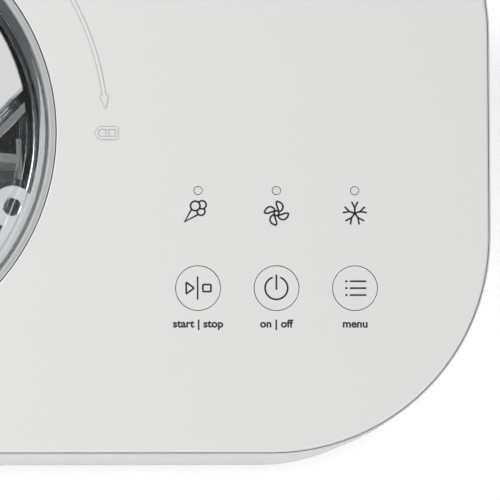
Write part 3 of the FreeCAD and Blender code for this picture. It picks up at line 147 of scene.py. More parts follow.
def makeRoundBrushing():
    # fine lines left by spinning or drawing a part about an upright axis
    tree, start, end = startGroup("roundBrushing", [
        ("Axis X", "NodeSocketFloat", 0.0),
        ("Axis Y", "NodeSocketFloat", 0.0),
        ("Colour", "NodeSocketColor", (0.7, 0.7, 0.7, 1)),
        ("Line colour", "NodeSocketColor", (0.5, 0.5, 0.5, 1)),
        ("Line scale", "NodeSocketFloat", 900.0),
        ("Roughness", "NodeSocketFloat", 0.2),
        ("Roughness spread", "NodeSocketFloat", 0.12),
    ], [("Colour", "NodeSocketColor"), ("Roughness", "NodeSocketFloat"), ("Height", "NodeSocketFloat")])
    place = addNode(tree, "ShaderNodeTexCoord").outputs["Object"]
    split = addNode(tree, "ShaderNodeSeparateXYZ", {"Vector": place})
    fromX = calc(tree, "SUBTRACT", split.outputs["X"], start.outputs["Axis X"])
    fromY = calc(tree, "SUBTRACT", split.outputs["Y"], start.outputs["Axis Y"])
    radius = lengthOf(tree, fromX, fromY)
    angle = calc(tree, "MULTIPLY", calc(tree, "ARCTAN2", fromY, fromX), 0.004)
    lines = addNode(tree, "ShaderNodeCombineXYZ", {
        "X": radius, "Y": angle, "Z": split.outputs["Z"]}).outputs["Vector"]
    fine = noiseIn(tree, lines, start.outputs["Line scale"], 4.0, 0.7)
    broad = noiseIn(tree, place, 25.0)
    colour = blendColours(tree, fine, start.outputs["Colour"], start.outputs["Line colour"])
    both = calc(tree, "ADD", calc(tree, "MULTIPLY", fine, 0.7), calc(tree, "MULTIPLY", broad, 0.3))
    spread = calc(tree, "MULTIPLY", calc(tree, "SUBTRACT", both, 0.5), start.outputs["Roughness spread"])
    tree.links.new(colour, end.inputs["Colour"])
    rough = calc(tree, "ADD", start.outputs["Roughness"], spread, clamp=True)
    tree.links.new(rough, end.inputs["Roughness"])
    tree.links.new(fine, end.inputs["Height"])
    return tree


def makeHandling():
    # where fingers and a cloth have left the surface a little duller
    tree, start, end = startGroup("handling", [
        ("Patch scale", "NodeSocketFloat", 9.0),
        ("Coverage", "NodeSocketFloat", 0.45),
    ], [("Mask", "NodeSocketFloat")])
    place = addNode(tree, "ShaderNodeTexCoord").outputs["Object"]
    patches = noiseIn(tree, place, start.outputs["Patch scale"], 5.0, 0.6)
    swirls = noiseIn(tree, place, 260.0, 2.0)
    low = calc(tree, "SUBTRACT", 1.0, start.outputs["Coverage"])
    mask = calc(tree, "MULTIPLY", calc(tree, "SUBTRACT", patches, low), 4.0, clamp=True)
    broken = calc(tree, "MULTIPLY", mask, calc(tree, "ADD", swirls, 0.3), clamp=True)
    tree.links.new(broken, end.inputs["Mask"])
    return tree


def makeSettledDust():
    # a mask for dust on faces that look up
    tree, start, end = startGroup("settledDust", [
        ("Amount", "NodeSocketFloat", 0.3),
        ("Scale", "NodeSocketFloat", 60.0),
    ], [("Mask", "NodeSocketFloat")])
    place = addNode(tree, "ShaderNodeTexCoord").outputs["Object"]
    up = addNode(tree, "ShaderNodeSeparateXYZ", {
        "Vector": addNode(tree, "ShaderNodeNewGeometry").outputs["Normal"]}).outputs["Z"]
    specks = noiseIn(tree, place, start.outputs["Scale"], 6.0, 0.7)
    facing = calc(tree, "MULTIPLY", up, start.outputs["Amount"], clamp=True)
    tree.links.new(calc(tree, "MULTIPLY", facing, specks, clamp=True), end.inputs["Mask"])
    return tree


def makePaintedCreviceShade():
    # a mask for narrow gaps and inside corners, used to paint shade into the colour there
    tree, start, end = startGroup("crevice", [
        ("Reach", "NodeSocketFloat", 0.0015),
        ("Strength", "NodeSocketFloat", 1.0),
    ], [("Mask", "NodeSocketFloat")])
    openness = addNode(tree, "ShaderNodeAmbientOcclusion", {"Distance": start.outputs["Reach"]}, samples=6)
    closed = calc(tree, "SUBTRACT", 1.0, openness.outputs["AO"])
    tree.links.new(calc(tree, "MULTIPLY", closed, start.outputs["Strength"], clamp=True), end.inputs["Mask"])
    return tree


def makePaintedEdgeHighlight():
    # a mask for outer edges, used to paint a highlight into the colour there
    tree, start, end = startGroup("paintedEdgeHighlight", [
        ("Width", "NodeSocketFloat", 0.0005),
        ("Strength", "NodeSocketFloat", 3.0),
    ], [("Mask", "NodeSocketFloat")])
    rounded = addNode(tree, "ShaderNodeBevel", {"Radius": start.outputs["Width"]}, samples=4)
    real = addNode(tree, "ShaderNodeNewGeometry").outputs["Normal"]
    same = addNode(tree, "ShaderNodeVectorMath", {0: rounded.outputs["Normal"], 1: real},
                   operation="DOT_PRODUCT")
    turned = calc(tree, "SUBTRACT", 1.0, same.outputs["Value"])
    tree.links.new(calc(tree, "MULTIPLY", turned, start.outputs["Strength"], clamp=True), end.inputs["Mask"])
    return tree


def makeRolledRim():
    # the height of a rounded ring about an upright axis, for a rim or a seal's lip
    tree, start, end = startGroup("rolledRim", [
        ("Axis X", "NodeSocketFloat", 0.0),
        ("Axis Y", "NodeSocketFloat", 0.0),
        ("Radius", "NodeSocketFloat", 0.09),
        ("Half width", "NodeSocketFloat", 0.002),
    ], [("Height", "NodeSocketFloat")])
    place = addNode(tree, "ShaderNodeTexCoord").outputs["Object"]
    split = addNode(tree, "ShaderNodeSeparateXYZ", {"Vector": place})
    fromX = calc(tree, "SUBTRACT", split.outputs["X"], start.outputs["Axis X"])
    fromY = calc(tree, "SUBTRACT", split.outputs["Y"], start.outputs["Axis Y"])
    away = calc(tree, "SUBTRACT", lengthOf(tree, fromX, fromY), start.outputs["Radius"])
    share = calc(tree, "DIVIDE", away, start.outputs["Half width"])
    height = calc(tree, "SUBTRACT", 1.0, calc(tree, "MULTIPLY", share, share), clamp=True)
    tree.links.new(height, end.inputs["Height"])
    return tree


mouldedSkin = makeMouldedSkin()
roundBrushing = makeRoundBrushing()
handling = makeHandling()
settledDust = makeSettledDust()
crevice = makePaintedCreviceShade()
paintedEdgeHighlight = makePaintedEdgeHighlight()
rolledRim = makeRolledRim()
print("shader groups made")


# finishes
def startMaterial(name, colour):
    material = bpy.data.materials.new(name)
    material.use_nodes = True
    material.diffuse_color = (*colour, 1)
    tree = material.node_tree
    tree.nodes.clear()
    shader = tree.nodes.new("ShaderNodeBsdfPrincipled")
    end = tree.nodes.new("ShaderNodeOutputMaterial")
    tree.links.new(shader.outputs["BSDF"], end.inputs["Surface"])
    return material, tree, shader


def useGroup(tree, group, values):
    node = addNode(tree, "ShaderNodeGroup", node_tree=group)
    for key, value in values.items():
        node.inputs[key].default_value = value
    return node


def bumpInto(tree, shader, height, strength, distance, rolled=None, rounding=None):
    bump = addNode(tree, "ShaderNodeBump", {"Height": height, "Strength": strength, "Distance": distance})
    if rounding:   # edges too small to model, rounded for the light only
        rounded = addNode(tree, "ShaderNodeBevel", {"Radius": rounding}, samples=6)
        tree.links.new(rounded.outputs["Normal"], bump.inputs["Normal"])
    if rolled:
        ring = useGroup(tree, rolledRim, {
            "Axis X": lidPlace[0], "Axis Y": lidPlace[1], "Radius": rolled[0], "Half width": rolled[1]})
        bump = addNode(tree, "ShaderNodeBump", {
            "Height": ring.outputs["Height"], "Strength": 1.0, "Distance": rolled[2],
            "Normal": bump.outputs["Normal"]})
    tree.links.new(bump.outputs["Normal"], shader.inputs["Normal"])


def tone(colour, factor):
    return (colour[0] * factor, colour[1] * factor, colour[2] * factor, 1)


plasticDust = (0.55, 0.53, 0.5, 1)
rubberDust = (0.5, 0.48, 0.45, 1)


def mouldedPlastic(name, values):
    material, tree, shader = startMaterial(name, values["colour"])
    skin = useGroup(tree, mouldedSkin, {
        "Colour": tone(values["colour"], 1),
        "Mottled colour": tone(values["colour"], values.get("mottle", 0.97)),
        "Mottle scale": values.get("mottleScale", 14.0),
        "Grain scale": values.get("grainScale", 2400.0),
        "Roughness": values["roughness"],
        "Roughness spread": values.get("spread", 0.06),
    })
    dust = useGroup(tree, settledDust, {"Amount": values.get("dust", 0.0), "Scale": 80.0})
    colour = blendColours(tree, dust.outputs["Mask"], skin.outputs["Colour"], plasticDust)
    touched = useGroup(tree, handling, {"Patch scale": 11.0, "Coverage": 0.5})
    duller = calc(tree, "MULTIPLY", touched.outputs["Mask"], values.get("handled", 0.03))
    # painted highlight: the colour is lightened along outer edges
    if "edge" in values:
        edge = useGroup(tree, paintedEdgeHighlight, {"Width": values.get("edgeWidth", 0.0005), "Strength": 4.0})
        colour = blendColours(tree, edge.outputs["Mask"], colour, tone(values["colour"], values["edge"]))
    # painted shade: the colour is darkened to a quarter in gaps and inside corners
    if "crevice" in values:
        creviceShadeMask = useGroup(tree, crevice, {"Reach": values.get("reach", 0.0015), "Strength": values["crevice"]})
        colour = blendColours(tree, creviceShadeMask.outputs["Mask"], colour, tone(values["colour"], 0.25))
    rough = calc(tree, "ADD", skin.outputs["Roughness"], duller, clamp=True)
    tree.links.new(colour, shader.inputs["Base Color"])
    tree.links.new(rough, shader.inputs["Roughness"])
    shader.inputs["Specular IOR Level"].default_value = values.get("specular", 0.5)
    shader.inputs["Coat Weight"].default_value = values.get("coat", 0.0)
    shader.inputs["Coat Roughness"].default_value = values.get("coatRoughness", 0.15)
    shader.inputs["Subsurface Weight"].default_value = values.get("depth", 0.0)
    shader.inputs["Subsurface Scale"].default_value = 0.002
    bumpInto(tree, shader, skin.outputs["Height"], values.get("bump", 0.12), values.get("relief", 0.00002),
             values.get("rolled"))
    return material


def spunMetal(name, values):
    material, tree, shader = startMaterial(name, values["colour"])
    lines = useGroup(tree, roundBrushing, {
        "Axis X": values.get("axis", (0, 0))[0],
        "Axis Y": values.get("axis", (0, 0))[1],
        "Colour": tone(values["colour"], 1),
        "Line colour": tone(values["colour"], values.get("lineTone", 0.8)),
        "Line scale": values.get("lineScale", 1400.0),
        "Roughness": values["roughness"],
        "Roughness spread": values.get("spread", 0.1),
    })
    touched = useGroup(tree, handling, {"Patch scale": 16.0, "Coverage": 0.55})
    duller = calc(tree, "MULTIPLY", touched.outputs["Mask"], values.get("handled", 0.08))
    rough = calc(tree, "ADD", lines.outputs["Roughness"], duller, clamp=True)
    tree.links.new(lines.outputs["Colour"], shader.inputs["Base Color"])
    tree.links.new(rough, shader.inputs["Roughness"])
    shader.inputs["Metallic"].default_value = 1.0
    bumpInto(tree, shader, lines.outputs["Height"], values.get("bump", 0.15), values.get("relief", 0.00002),
             values.get("rolled"))
    return material


def tarnishedMetal(name, values):
    # drawn, plated or sintered metal with a stained skin
    material, tree, shader = startMaterial(name, values["colour"])
    place = addNode(tree, "ShaderNodeTexCoord").outputs["Object"]
    stains = noiseIn(tree, place, values.get("stainScale", 70.0), 6.0, 0.65)
    pits = noiseIn(tree, place, values.get("pitScale", 1500.0), 3.0)
    colour = blendColours(tree, stains, tone(values["colour"], 1), (*values["stain"], 1))
    spread = calc(tree, "MULTIPLY", stains, values.get("spread", 0.25))
    rough = calc(tree, "ADD", spread, values["roughness"])
    tree.links.new(colour, shader.inputs["Base Color"])
    tree.links.new(rough, shader.inputs["Roughness"])
    shader.inputs["Metallic"].default_value = values.get("metallic", 1.0)
    bumpInto(tree, shader, pits, values.get("bump", 0.2), values.get("relief", 0.00004))
    return material


def clearPlastic(name, values):
    material, tree, shader = startMaterial(name, values["colour"])
    touched = useGroup(tree, handling, {"Patch scale": 18.0, "Coverage": 0.5})
    smear = calc(tree, "MULTIPLY", touched.outputs["Mask"], values["smear"])
    rough = calc(tree, "ADD", smear, values["roughness"])
    place = addNode(tree, "ShaderNodeTexCoord").outputs["Object"]
    tree.links.new(rough, shader.inputs["Roughness"])
    shader.inputs["Base Color"].default_value = tone(values["colour"], 1)
    shader.inputs["Transmission Weight"].default_value = 1.0
    shader.inputs["IOR"].default_value = values["ior"]
    bumpInto(tree, shader, noiseIn(tree, place, 55.0, 2.0), 0.1, values["ripple"], values["rolled"],
             values["rounding"])
    # light from the lamps passes straight through, so that what lies under the plastic is lit
    passing = addNode(tree, "ShaderNodeBsdfTransparent", {"Color": tone(values["colour"], values["passes"])})
    isShadow = addNode(tree, "ShaderNodeLightPath").outputs["Is Shadow Ray"]
    both = addNode(tree, "ShaderNodeMixShader", {
        0: isShadow, 1: shader.outputs["BSDF"], 2: passing.outputs["BSDF"]})
    tree.links.new(both.outputs["Shader"], tree.nodes["Material Output"].inputs["Surface"])
    return material


def softRubber(name, values):
    material, tree, shader = startMaterial(name, values["colour"])
    skin = useGroup(tree, mouldedSkin, {
        "Colour": tone(values["colour"], 1),
        "Mottled colour": tone(values["colour"], 1.6),
        "Mottle scale": 40.0,
        "Grain scale": 1300.0,
        "Roughness": values["roughness"],
        "Roughness spread": 0.2,
    })
    dust = useGroup(tree, settledDust, {"Amount": 0.25, "Scale": 120.0})
    colour = blendColours(tree, dust.outputs["Mask"], skin.outputs["Colour"], rubberDust)
    tree.links.new(colour, shader.inputs["Base Color"])
    tree.links.new(skin.outputs["Roughness"], shader.inputs["Roughness"])
    shader.inputs["Sheen Weight"].default_value = 0.15
    bumpInto(tree, shader, skin.outputs["Height"], 0.4, 0.00006)
    return material


def rigidFoam(name, values):
    material, tree, shader = startMaterial(name, values["colour"])
    place = addNode(tree, "ShaderNodeTexCoord").outputs["Object"]
    cells = addNode(tree, "ShaderNodeTexVoronoi", {
        "Vector": place, "Scale": values["cellScale"]}).outputs["Distance"]
    cloud = noiseIn(tree, place, 18.0, 5.0)
    shade = calc(tree, "MULTIPLY", calc(tree, "ADD", cells, cloud), 0.5)
    tree.links.new(blendColours(tree, shade, tone(values["colour"], 0.8), tone(values["colour"], 1.05)),
                   shader.inputs["Base Color"])
    tree.links.new(calc(tree, "ADD", calc(tree, "MULTIPLY", cloud, 0.2), 0.75), shader.inputs["Roughness"])
    bumpInto(tree, shader, cells, 0.6, 0.0006)
    return material


def circuitBoard(name, values):
    material, tree, shader = startMaterial(name, values["colour"])
    place = addNode(tree, "ShaderNodeTexCoord").outputs["Object"]
    cells = addNode(tree, "ShaderNodeTexVoronoi", {"Vector": place, "Scale": 260.0, "Randomness": 0.35},
                    distance="MANHATTAN").outputs["Distance"]
    tracks = calc(tree, "GREATER_THAN", cells, 0.55)
    weave = noiseIn(tree, place, 900.0, 2.0)
    green = blendColours(tree, tracks, tone(values["colour"], 1), tone(values["colour"], 1.7))
    woven = blendColours(tree, calc(tree, "MULTIPLY", weave, 0.3), green, tone(values["colour"], 0.5))
    tree.links.new(woven, shader.inputs["Base Color"])
    tree.links.new(calc(tree, "ADD", calc(tree, "MULTIPLY", weave, 0.2), 0.25), shader.inputs["Roughness"])
    bumpInto(tree, shader, tracks, 0.4, 0.00005)
    return material


lidAxis = sum((Vector(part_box("freezer_can")[side]) for side in (0, 1)), Vector()) / 2
lidPlace = (lidAxis.x, lidAxis.y)

finishes = {
    "white_panel": (mouldedPlastic, {"colour": (0.62, 0.62, 0.611), "roughness": 0.34, "mottle": 0.985,
                                     "mottleScale": 5.0, "grainScale": 3200.0, "bump": 0.05, "handled": 0.02,
                                     "coat": 0.25, "coatRoughness": 0.2, "crevice": 2.0, "reach": 0.001,
                                     "edge": 1.4}),
    # painted shade: the body's white is set darker than the panel's, for its side walls
    "white_body": (mouldedPlastic, {"colour": (0.52, 0.52, 0.515), "roughness": 0.42, "mottle": 0.98,
                                    "mottleScale": 6.0, "grainScale": 2600.0, "bump": 0.1, "crevice": 0.4,
                                    "reach": 0.001}),
    "lid_white": (mouldedPlastic, {"colour": (0.56, 0.56, 0.555), "roughness": 0.3, "mottle": 0.985,
                                   "mottleScale": 7.0, "grainScale": 3200.0, "bump": 0.05, "coat": 0.3,
                                   "crevice": 0.8}),
    "trim_grey": (mouldedPlastic, {"colour": (0.375, 0.385, 0.385), "roughness": 0.3, "mottle": 0.97,
                                   "grainScale": 3000.0, "bump": 0.08, "crevice": 0.7, "edge": 2.3,
                                   "edgeWidth": 0.001}),
    "paddle_white": (mouldedPlastic, {"colour": (0.52, 0.52, 0.508), "roughness": 0.36, "mottle": 0.96,
                                      "depth": 0.1, "bump": 0.12}),
    "lamp_lens": (mouldedPlastic, {"colour": (0.60, 0.60, 0.59), "roughness": 0.3, "depth": 0.1,
                                   "bump": 0.04, "crevice": 0.7, "reach": 0.001}),
    "gear_nylon": (mouldedPlastic, {"colour": (0.70, 0.66, 0.54), "roughness": 0.38, "mottle": 0.93,
                                    "depth": 0.1, "bump": 0.15}),
    "grey_plastic": (mouldedPlastic, {"colour": (0.11, 0.115, 0.12), "roughness": 0.5, "mottle": 0.85,
                                      "grainScale": 1500.0, "bump": 0.3, "dust": 0.25}),
    "black_plastic": (mouldedPlastic, {"colour": (0.018, 0.018, 0.02), "roughness": 0.45, "mottle": 1.5,
                                       "grainScale": 1400.0, "bump": 0.3, "dust": 0.12}),
    "black_paint": (mouldedPlastic, {"colour": (0.012, 0.012, 0.013), "roughness": 0.25, "mottle": 1.6,
                                     "grainScale": 500.0, "bump": 0.35, "relief": 0.00006, "dust": 0.3,
                                     "coat": 0.4}),
    "clear_plastic": (clearPlastic, {"colour": (0.955, 0.975, 0.985), "roughness": 0.015, "smear": 0.05,
                                     "ior": 1.49, "ripple": 0.00004, "passes": 0.82,
                                     "rolled": (0.0995, 0.0067, 0.0014), "rounding": 0.0005}),
    "silicone": (mouldedPlastic, {"colour": (0.14, 0.144, 0.148), "roughness": 0.3, "mottle": 0.94,
                                  "coat": 1.0, "coatRoughness": 0.2, "bump": 0.05,
                                  "rolled": (0.0995, 0.0067, 0.0014)}),
    "rubber_dark": (softRubber, {"colour": (0.012, 0.012, 0.012), "roughness": 0.62}),
    "stainless": (spunMetal, {"colour": (0.60, 0.61, 0.62), "roughness": 0.26, "axis": lidPlace,
                              "lineTone": 0.72, "lineScale": 1800.0, "spread": 0.1, "bump": 0.12,
                              "handled": 0.03, "rolled": (0.09025, 0.00225, 0.0018)}),
    "aluminium": (spunMetal, {"colour": (0.78, 0.79, 0.80), "roughness": 0.3, "axis": lidPlace,
                              "lineTone": 0.85, "lineScale": 900.0, "bump": 0.2}),
    "steel": (spunMetal, {"colour": (0.50, 0.50, 0.51), "roughness": 0.22, "axis": lidPlace,
                          "lineTone": 0.8, "lineScale": 2500.0}),
    "zinc_screw": (tarnishedMetal, {"colour": (0.62, 0.62, 0.60), "stain": (0.45, 0.44, 0.40),
                                    "roughness": 0.2}),
    "copper": (tarnishedMetal, {"colour": (0.72, 0.38, 0.24), "stain": (0.36, 0.18, 0.12), "roughness": 0.22,
                                "stainScale": 40.0}),
    "bronze": (tarnishedMetal, {"colour": (0.50, 0.34, 0.16), "stain": (0.32, 0.2, 0.1), "roughness": 0.35,
                                "pitScale": 3000.0, "bump": 0.5}),
    "galvanised": (tarnishedMetal, {"colour": (0.60, 0.61, 0.63), "stain": (0.42, 0.43, 0.46),
                                    "roughness": 0.3, "stainScale": 55.0}),
    "blued_steel": (spunMetal, {"colour": (0.035, 0.045, 0.07), "roughness": 0.35, "axis": lidPlace,
                                "lineTone": 0.7, "lineScale": 2500.0}),
    # painted shade: the dark grey of the thin sheet laid on the clear flap's frame
    "painted_frame_shade": (mouldedPlastic, {"colour": (0.13, 0.137, 0.14), "roughness": 0.5, "mottle": 0.93,
                                      "grainScale": 1800.0, "bump": 0.25, "edge": 2.6, "edgeWidth": 0.0004}),
    "foam": (rigidFoam, {"colour": (0.78, 0.70, 0.46), "cellScale": 900.0}),
    "circuit_board": (circuitBoard, {"colour": (0.015, 0.10, 0.045)}),
}


ownFinishes = {"hatch_pin": "blued_steel"}   # nodes that differ from the rest of their slot


def finishNodes():
    made = {name: maker(name, values) for name, (maker, values) in finishes.items()}
    for part in frame["record"]["subparts"]:
        node = nodes[part["node"]]
        material = made[ownFinishes.get(part["node"], part["material_slot"])]
        node.data.materials.clear()
        node.data.materials.append(material)
        for face in node.data.polygons:
            face.material_index = 0
    return made


materials = finishNodes()
print("finishes given to every node")


# printed marks
ink = {
    "colour": (0.006, 0.006, 0.007),
    "roughness": 0.45,
    "line": 0.74 * mm,
    "thinLine": 0.66 * mm,
    "lift": 0.02 * mm,
    "thickness": 0.03 * mm,
    "labelDrop": 17.15 * mm,     # from a button's middle down to the foot of the letters
    "labelHeight": 2.5 * mm,     # of a small letter
    "labelWeight": 0.026,        # how much the strokes are thickened
    "smallLetter": 0.53,         # height of a small letter as a share of the built-in face's size
}


def makeInk():
    material, tree, shader = startMaterial("printedInk", ink["colour"])
    place = addNode(tree, "ShaderNodeTexCoord").outputs["Object"]
    mesh = noiseIn(tree, place, 6000.0, 2.0)
    patches = noiseIn(tree, place, 400.0, 3.0)
    tree.links.new(blendColours(tree, patches, tone(ink["colour"], 1), tone(ink["colour"], 1.8)),
                   shader.inputs["Base Color"])
    tree.links.new(calc(tree, "ADD", calc(tree, "MULTIPLY", patches, 0.2), ink["roughness"]),
                   shader.inputs["Roughness"])
    bumpInto(tree, shader, mesh, 0.2, 0.00001)
    return material


printedInk = makeInk()


def linkPiece(name, mesh, body, material):
    made = bpy.data.objects.new(name, mesh)
    bpy.context.scene.collection.objects.link(made)
    made.data.materials.clear()
    made.data.materials.append(material)
    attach(made, body)
    return made


def inkStroke(shape, points, width, closed, level):
    # a flat ribbon of even width along points, mitred where it turns and rounded at free ends
    count = len(points)
    left, right = [], []
    for index, point in enumerate(points):
        before = points[index - 1] if closed or index > 0 else None
        after = points[(index + 1) % count] if closed or index < count - 1 else None
        into = (point - before).normalized() if before is not None else (after - point).normalized()
        out = (after - point).normalized() if after is not None else into
        bisector = (into + out).normalized() if (into + out).length > 1e-6 else into
        across = Vector((-bisector.y, bisector.x))
        stretch = 1 / max(0.5, across.dot(Vector((-into.y, into.x))))
        left.append(point + across * width / 2 * stretch)
        right.append(point - across * width / 2 * stretch)
    upper = [[shape.verts.new((p.x, p.y, level)) for p in side] for side in (left, right)]
    for index in range(count if closed else count - 1):
        following = (index + 1) % count
        shape.faces.new((upper[0][index], upper[1][index], upper[1][following], upper[0][following]))
    if not closed:
        for point, beyond, first, last in (
                (points[0], points[1], upper[0][0], upper[1][0]),
                (points[-1], points[-2], upper[1][-1], upper[0][-1])):
            inkEnd(shape, point, (point - beyond).normalized(), width, level, first, last)


def inkEnd(shape, point, outwards, width, level, first, last):
    start = math.atan2(outwards.y, outwards.x) + math.pi / 2
    between = []
    for step in range(1, 6):
        angle = start - math.pi * step / 6
        between.append(shape.verts.new((
            point.x + width / 2 * math.cos(angle), point.y + width / 2 * math.sin(angle), level)))
    ring = [first] + between + [last]
    if (between[0].co - last.co).length < (between[0].co - first.co).length:
        ring = [last] + between + [first]
    shape.faces.new(ring)


def inkDisc(shape, centre, radius, level):
    rim = [shape.verts.new((
        centre.x + radius * math.cos(math.tau * step / 24),
        centre.y + radius * math.sin(math.tau * step / 24), level)) for step in range(24)]
    shape.faces.new(rim)


def arcPoints(centre, radius, start, end, steps):
    return [centre + radius * Vector((math.cos(math.radians(start + (end - start) * step / steps)),
                                      math.sin(math.radians(start + (end - start) * step / steps))))
            for step in range(steps + 1)]


def ringPoints(centre, radius, steps=48):
    return arcPoints(centre, radius, 0, 360, steps)[:-1]


def smoothLoop(corners, steps=8):
    # a closed curve through its corners
    points = []
    count = len(corners)
    for index in range(count):
        a, b, c, d = (corners[(index + shift) % count] for shift in (-1, 0, 1, 2))
        for step in range(steps):
            t = step / steps
            points.append(0.5 * (2 * b + (c - a) * t + (2 * a - 5 * b + 4 * c - d) * t ** 2
                                 + (3 * b - a - 3 * c + d) * t ** 3))
    return points


def roundedLoop(corners, radius, steps=5):
    # straight sides with a small round at each corner
    points = []
    count = len(corners)
    for index, corner in enumerate(corners):
        before = (corners[index - 1] - corner).normalized()
        after = (corners[(index + 1) % count] - corner).normalized()
        for step in range(steps + 1):
            t = step / steps
            points.append(corner + before * radius * (1 - t) ** 2 + after * radius * t ** 2)
    return points


def turnedPoints(points, angle, centre):
    c, s = math.cos(math.radians(angle)), math.sin(math.radians(angle))
    return [centre + Vector((c * p.x - s * p.y, s * p.x + c * p.y)) for p in points]


def thickenPrint(made):
    solid = made.modifiers.new("thickness", "SOLIDIFY")
    solid.thickness = ink["thickness"]
    solid.offset = 1.0


def finishMark(name, shape, body):
    for face in shape.faces:
        face.normal_update()
        if face.normal.z < 0:
            face.normal_flip()
    mesh = bpy.data.meshes.new(name)
    shape.to_mesh(mesh)
    shape.free()
    thickenPrint(linkPiece(name, mesh, body, printedInk))


def middleOf(node):
    low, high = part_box(node)
    return Vector(((low.x + high.x) / 2, (low.y + high.y) / 2)), high.z


def millimetres(x, y):
    return Vector((x * mm, y * mm))


coneMark = {
    "scoops": ((-1.26, -6.80, 2.08), (1.72, -6.30, 1.80), (1.28, -9.20, 1.72)),
    "tip": (-5.85, -13.70),
    "sides": ((-3.0, -8.45), (-0.35, -10.75)),
}


def makeConeMark(centre, level):
    shape = bmesh.new()
    scoops = [(centre + millimetres(x, y), radius * mm) for x, y, radius in coneMark["scoops"]]
    for index, (place, radius) in enumerate(scoops):
        ring = ringPoints(place, radius, 60)
        inside = [any((point - other).length < size - 0.02 * mm for other, size in scoops[:index])
                  for point in ring]
        if not any(inside):
            inkStroke(shape, ring, ink["line"], True, level)
            continue
        first = next(step for step in range(60) if inside[step - 1] and not inside[step])
        run = []
        while not inside[(first + len(run)) % 60] and len(run) < 60:
            run.append(ring[(first + len(run)) % 60])
        inkStroke(shape, run, ink["line"], False, level)
    tip = centre + millimetres(*coneMark["tip"])
    sides = [centre + millimetres(*side) for side in coneMark["sides"]]
    inkStroke(shape, [sides[0], tip, sides[1]], ink["line"], False, level)
    finishMark("cone_mark", shape, "housing")


fanMark = {
    "drop": 9.95,
    "hub": 1.05,
    "blade": ((0.93, 1.12), (0.44, 2.54), (-0.05, 4.00), (0.29, 5.22), (2.00, 4.49), (2.83, 3.12),
              (2.49, 1.61), (1.51, 0.78)),
}


def makeFanMark(centre, level):
    shape = bmesh.new()
    middle = centre - millimetres(0, fanMark["drop"])
    inkStroke(shape, ringPoints(middle, fanMark["hub"] * mm, 32), ink["line"], True, level)
    blade = smoothLoop([millimetres(*corner) for corner in fanMark["blade"]])
    for quarter in range(4):
        inkStroke(shape, turnedPoints(blade, 90 * quarter, middle), ink["line"], True, level)
    finishMark("fan_mark", shape, "housing")


flakeMark = {"drop": 9.95, "stem": 2.45, "branch": (1.22, 4.85)}


def makeFlakeMark(centre, level):
    shape = bmesh.new()
    middle = centre - millimetres(0, flakeMark["drop"])
    reach, far = flakeMark["branch"]
    for arm in range(5):
        for points in (
                [millimetres(0, 0.1), millimetres(0, flakeMark["stem"])],
                [millimetres(-reach, far), millimetres(0, flakeMark["stem"]), millimetres(reach, far)]):
            inkStroke(shape, turnedPoints(points, 72 * arm, middle), ink["line"], False, level)
    finishMark("snowflake_mark", shape, "housing")


playStopMark = {
    "triangle": ((-5.2, 2.55), (-5.2, -2.55), (-1.75, 0)),
    "triangleRound": 0.5 * mm,
    "square": ((2.1, 1.55), (2.1, -1.55), (5.6, -1.55), (5.6, 1.55)),
    "squareRound": 0.45 * mm,
    "bar": ((-0.2, -4.8), (-0.2, 4.8)),
}


def makePlayStopMark(centre, level):
    shape = bmesh.new()
    triangle, square, bar = ([centre + millimetres(*corner) for corner in playStopMark[name]]
                             for name in ("triangle", "square", "bar"))
    inkStroke(shape, roundedLoop(triangle, playStopMark["triangleRound"]), ink["line"], True, level)
    inkStroke(shape, roundedLoop(square, playStopMark["squareRound"]), ink["line"], True, level)
    inkStroke(shape, bar, ink["thinLine"], False, level)
    finishMark("play_stop_mark", shape, "start_stop_key")


powerMark = {
    "left": 0.1,
    "radius": 4.95,
    "arc": (113, 427),      # degrees
    "stem": (-0.4, 5.6),
}


def makePowerMark(centre, level):
    shape = bmesh.new()
    middle = centre - millimetres(powerMark["left"], 0)
    stem = [middle + millimetres(0, end) for end in powerMark["stem"]]
    arc = arcPoints(middle, powerMark["radius"] * mm, *powerMark["arc"], 60)
    inkStroke(shape, arc, ink["line"], False, level)
    inkStroke(shape, stem, ink["line"], False, level)
    finishMark("power_mark", shape, "power_key")


listMark = {"rows": (-3.03, 0.0, 3.03), "dotAt": -3.8, "dotRadius": 0.5, "line": (-2.0, 4.6)}


def makeListMark(centre, level):
    shape = bmesh.new()
    for row in listMark["rows"]:
        inkDisc(shape, centre + millimetres(listMark["dotAt"], row), listMark["dotRadius"] * mm, level)
        inkStroke(shape, [centre + millimetres(end, row) for end in listMark["line"]],
                  ink["line"], False, level)
    finishMark("list_mark", shape, "menu_key")


labels = {
    "label_start_stop": ("start | stop", 21.9 * mm),
    "label_on_off": ("on | off", 14.5 * mm),
    "label_menu": ("menu", 10.8 * mm),
}


def makeLabel(name, centre, level):
    words, width = labels[name]
    data = bpy.data.curves.new(name, "FONT")
    data.body = words
    data.size = 1.0
    data.offset = ink["labelWeight"]
    data.resolution_u = 6
    text = bpy.data.objects.new(name + "_outline", data)
    bpy.context.scene.collection.objects.link(text)
    bpy.context.view_layer.update()
    mesh = bpy.data.meshes.new_from_object(text.evaluated_get(bpy.context.evaluated_depsgraph_get()))
    bpy.data.objects.remove(text)
    low = min(vertex.co.x for vertex in mesh.vertices)
    high = max(vertex.co.x for vertex in mesh.vertices)
    across = width / (high - low)
    upwards = ink["labelHeight"] / ink["smallLetter"]
    for vertex in mesh.vertices:
        vertex.co = Vector((
            centre.x + (vertex.co.x - (low + high) / 2) * across,
            centre.y - ink["labelDrop"] + vertex.co.y * upwards,
            level,
        ))
    mesh.name = name
    thickenPrint(linkPiece(name, mesh, "housing", printedInk))


